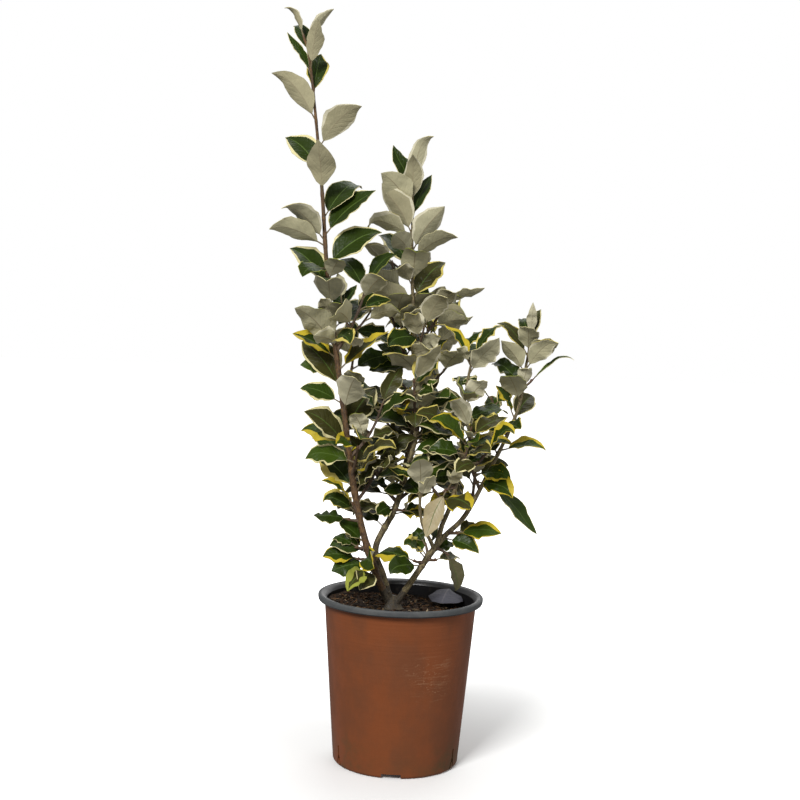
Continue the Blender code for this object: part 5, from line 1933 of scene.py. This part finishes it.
def dealt(masses):
    """Every leaf of some masses, with its look and its mass's own chance."""
    for mass in masses:
        chance = random.Random(mass.name)
        for i, leaf in enumerate(mass.leaves):
            look = deal_look(chance, leaf.root.z)
            if (mass.name, i) in kinds:
                look = KIND_LOOKS[kinds[mass.name, i]]
            elif i == 0:
                look = OWN_LOOKS.get(mass.name, look)
            yield leaf, look, chance


def blades(leaves):
    """The blades of some leaves, thickened together, with their undersides recoloured."""
    bm = bmesh.new()
    layer = bm.verts.layers.float_vector.new("leaf_place")
    tops, unders = [], []
    for leaf, look, chance in leaves:
        faces, below = add_blade(bm, layer, leaf, look, chance)
        tops += faces
        unders += below
    bm.normal_update()
    thick = bmesh.ops.solidify(bm, geom=tops, thickness=BLADE_THICKNESS)["geom"]
    bottoms = [item for item in thick if isinstance(item, bmesh.types.BMFace)][:len(tops)]
    for face, look in zip(bottoms, unders):
        face.material_index = look
    return bm


for name, (shoot, own, sides) in plant.items():
    nodes = [mass.name for mass in own + sides]
    dress(name + "_blades", blades(dealt(own + sides)), LEAF_FINISHES, nodes, BLADE_SHARP)

# %% [markdown]
# One old leaf has dropped on the right of the compost. It lies face down with its tip propped on the
# pot's wall. Its upturned underside is a dark lilac grey, which is painted shade and a painted reflection
# of the sky. It is one more blade of the same kind, turned over by its roll.

# %% Drop the fallen leaf
FALLEN_LEAF = Leaf(Vector((46, 4, 178)) * MM, 0, 76, 12, 62 * MM, 0.35, 180)
FALLEN_LOOK = Look(5, 4, 5, 0.05, 0.0, 0.5)
FALLEN_SEED = 8
fallen = blades([(FALLEN_LEAF, FALLEN_LOOK, random.Random(FALLEN_SEED))])
dress("fallen_leaf", fallen, LEAF_FINISHES, (), BLADE_SHARP)

# %% [markdown]
# The photograph was taken in soft daylight against white. A bright pale world gives the even light, a
# broad lamp from the upper left the gentle shading on the pot, and weaker ones from the right, above
# and behind keep the other sides from going dull. The camera sees the world as plain white, while the
# plant is lit by a dimmer one.

# %% Light the plant
LAMPS_AIM = Vector((0, 0, 0.4))
LAMPS = (("key", (-1.1, -2.4, 2.2), 1.0, 112),
         ("fill", (2.2, -1.7, 1.1), 2.0, 21),
         ("top", (0.3, 1.4, 2.4), 1.6, 18),
         ("back", (0.6, 2.4, 0.7), 1.8, 8))
SKY_LIGHT = 0.35


def add_lamp(name, place, size, power):
    """A square lamp that looks at the middle of the plant."""
    lamp = bpy.data.lights.new(name, "AREA")
    lamp.size = size
    lamp.energy = power
    obj = bpy.data.objects.new(name, lamp)
    obj.location = place
    obj.rotation_euler = (LAMPS_AIM - Vector(place)).to_track_quat("-Z", "Y").to_euler()
    bpy.context.scene.collection.objects.link(obj)


def pale_world():
    """A world that is white behind the plant, and lights it more softly than it looks."""
    world = bpy.data.worlds.new("pale_world")
    world.use_nodes = True
    tree = world.node_tree
    light = tree.nodes["Background"]
    light.inputs["Strength"].default_value = SKY_LIGHT
    light.inputs["Color"].default_value = (1, 1, 1, 1)
    white = tree.nodes.new("ShaderNodeBackground")
    white.inputs["Color"].default_value = (1, 1, 1, 1)
    choice = tree.nodes.new("ShaderNodeMixShader")
    tree.links.new(tree.nodes.new("ShaderNodeLightPath").outputs["Is Camera Ray"], choice.inputs[0])
    tree.links.new(light.outputs[0], choice.inputs[1])
    tree.links.new(white.outputs[0], choice.inputs[2])
    tree.links.new(choice.outputs[0], tree.nodes["World Output"].inputs["Surface"])
    bpy.context.scene.world = world


for lamp in LAMPS:
    add_lamp(*lamp)
pale_world()
bpy.context.scene.view_settings.view_transform = "Standard"
print("lamps", [lamp[0] for lamp in LAMPS])

# %% [markdown]
# The floor is pale, takes a soft shadow near the pot, and brightens further off, so that it runs into the
# white behind without a line. It throws no light back on the plant, because the real one stands on
# nothing that the photograph shows.

# %% Lay the floor
FLOOR_SIZE = 12
FLOOR_COLOUR = (0.86, 0.86, 0.85)
FLOOR_COLOURS = ((0.84, 0.84, 0.83), (0.88, 0.88, 0.87))
FLOOR_GLOW = (0.02, 1.0)
GLOW_REACH = (0.07, 0.75)


def floor_finish():
    """Pale and matt, with a glow that sets in away from the pot."""
    finish = Finish("pale_floor", FLOOR_COLOUR, 0.9, Emission_Strength=1.0)
    away = finish.node("ShaderNodeVectorMath", {"operation": "LENGTH"}, {0: finish.place()}, 1)
    glows = [[glow] * 3 for glow in FLOOR_GLOW]
    finish.shade("Emission Color", finish.mix(away.steps(*GLOW_REACH), *glows))
    finish.shade("Base Color", finish.mix(finish.cloud(finish.place(), 2.5, 2), *FLOOR_COLOURS))
    return finish


def lay_floor():
    """The floor, which is no part of the plant and throws no light back on it."""
    bm = bmesh.new()
    bmesh.ops.create_grid(bm, x_segments=8, y_segments=8, size=FLOOR_SIZE)
    mesh = bpy.data.meshes.new("floor")
    bm.to_mesh(mesh)
    bm.free()
    mesh.materials.append(floor_finish().material)
    floor = bpy.data.objects.new("floor", mesh)
    floor.visible_diffuse = False
    floor.visible_glossy = False
    bpy.context.scene.collection.objects.link(floor)
    floor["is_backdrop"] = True


lay_floor()
print("floor", 2 * FLOOR_SIZE, "m wide")

# %% [markdown]
# Last, the box round the dressed plant is measured, and how far each of its corners has moved from the
# box round its solids is printed.

# %% Measure and finish
DRESSED_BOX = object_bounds()
boxes = [[list(corner) for corner in box] for box in (SOLID_BOX, DRESSED_BOX)]
for side, solid, dressed in zip(("low", "high"), *boxes):
    print(side, "corner moved by", [round((b - a) / MM, 1) for a, b in zip(solid, dressed)], "mm")
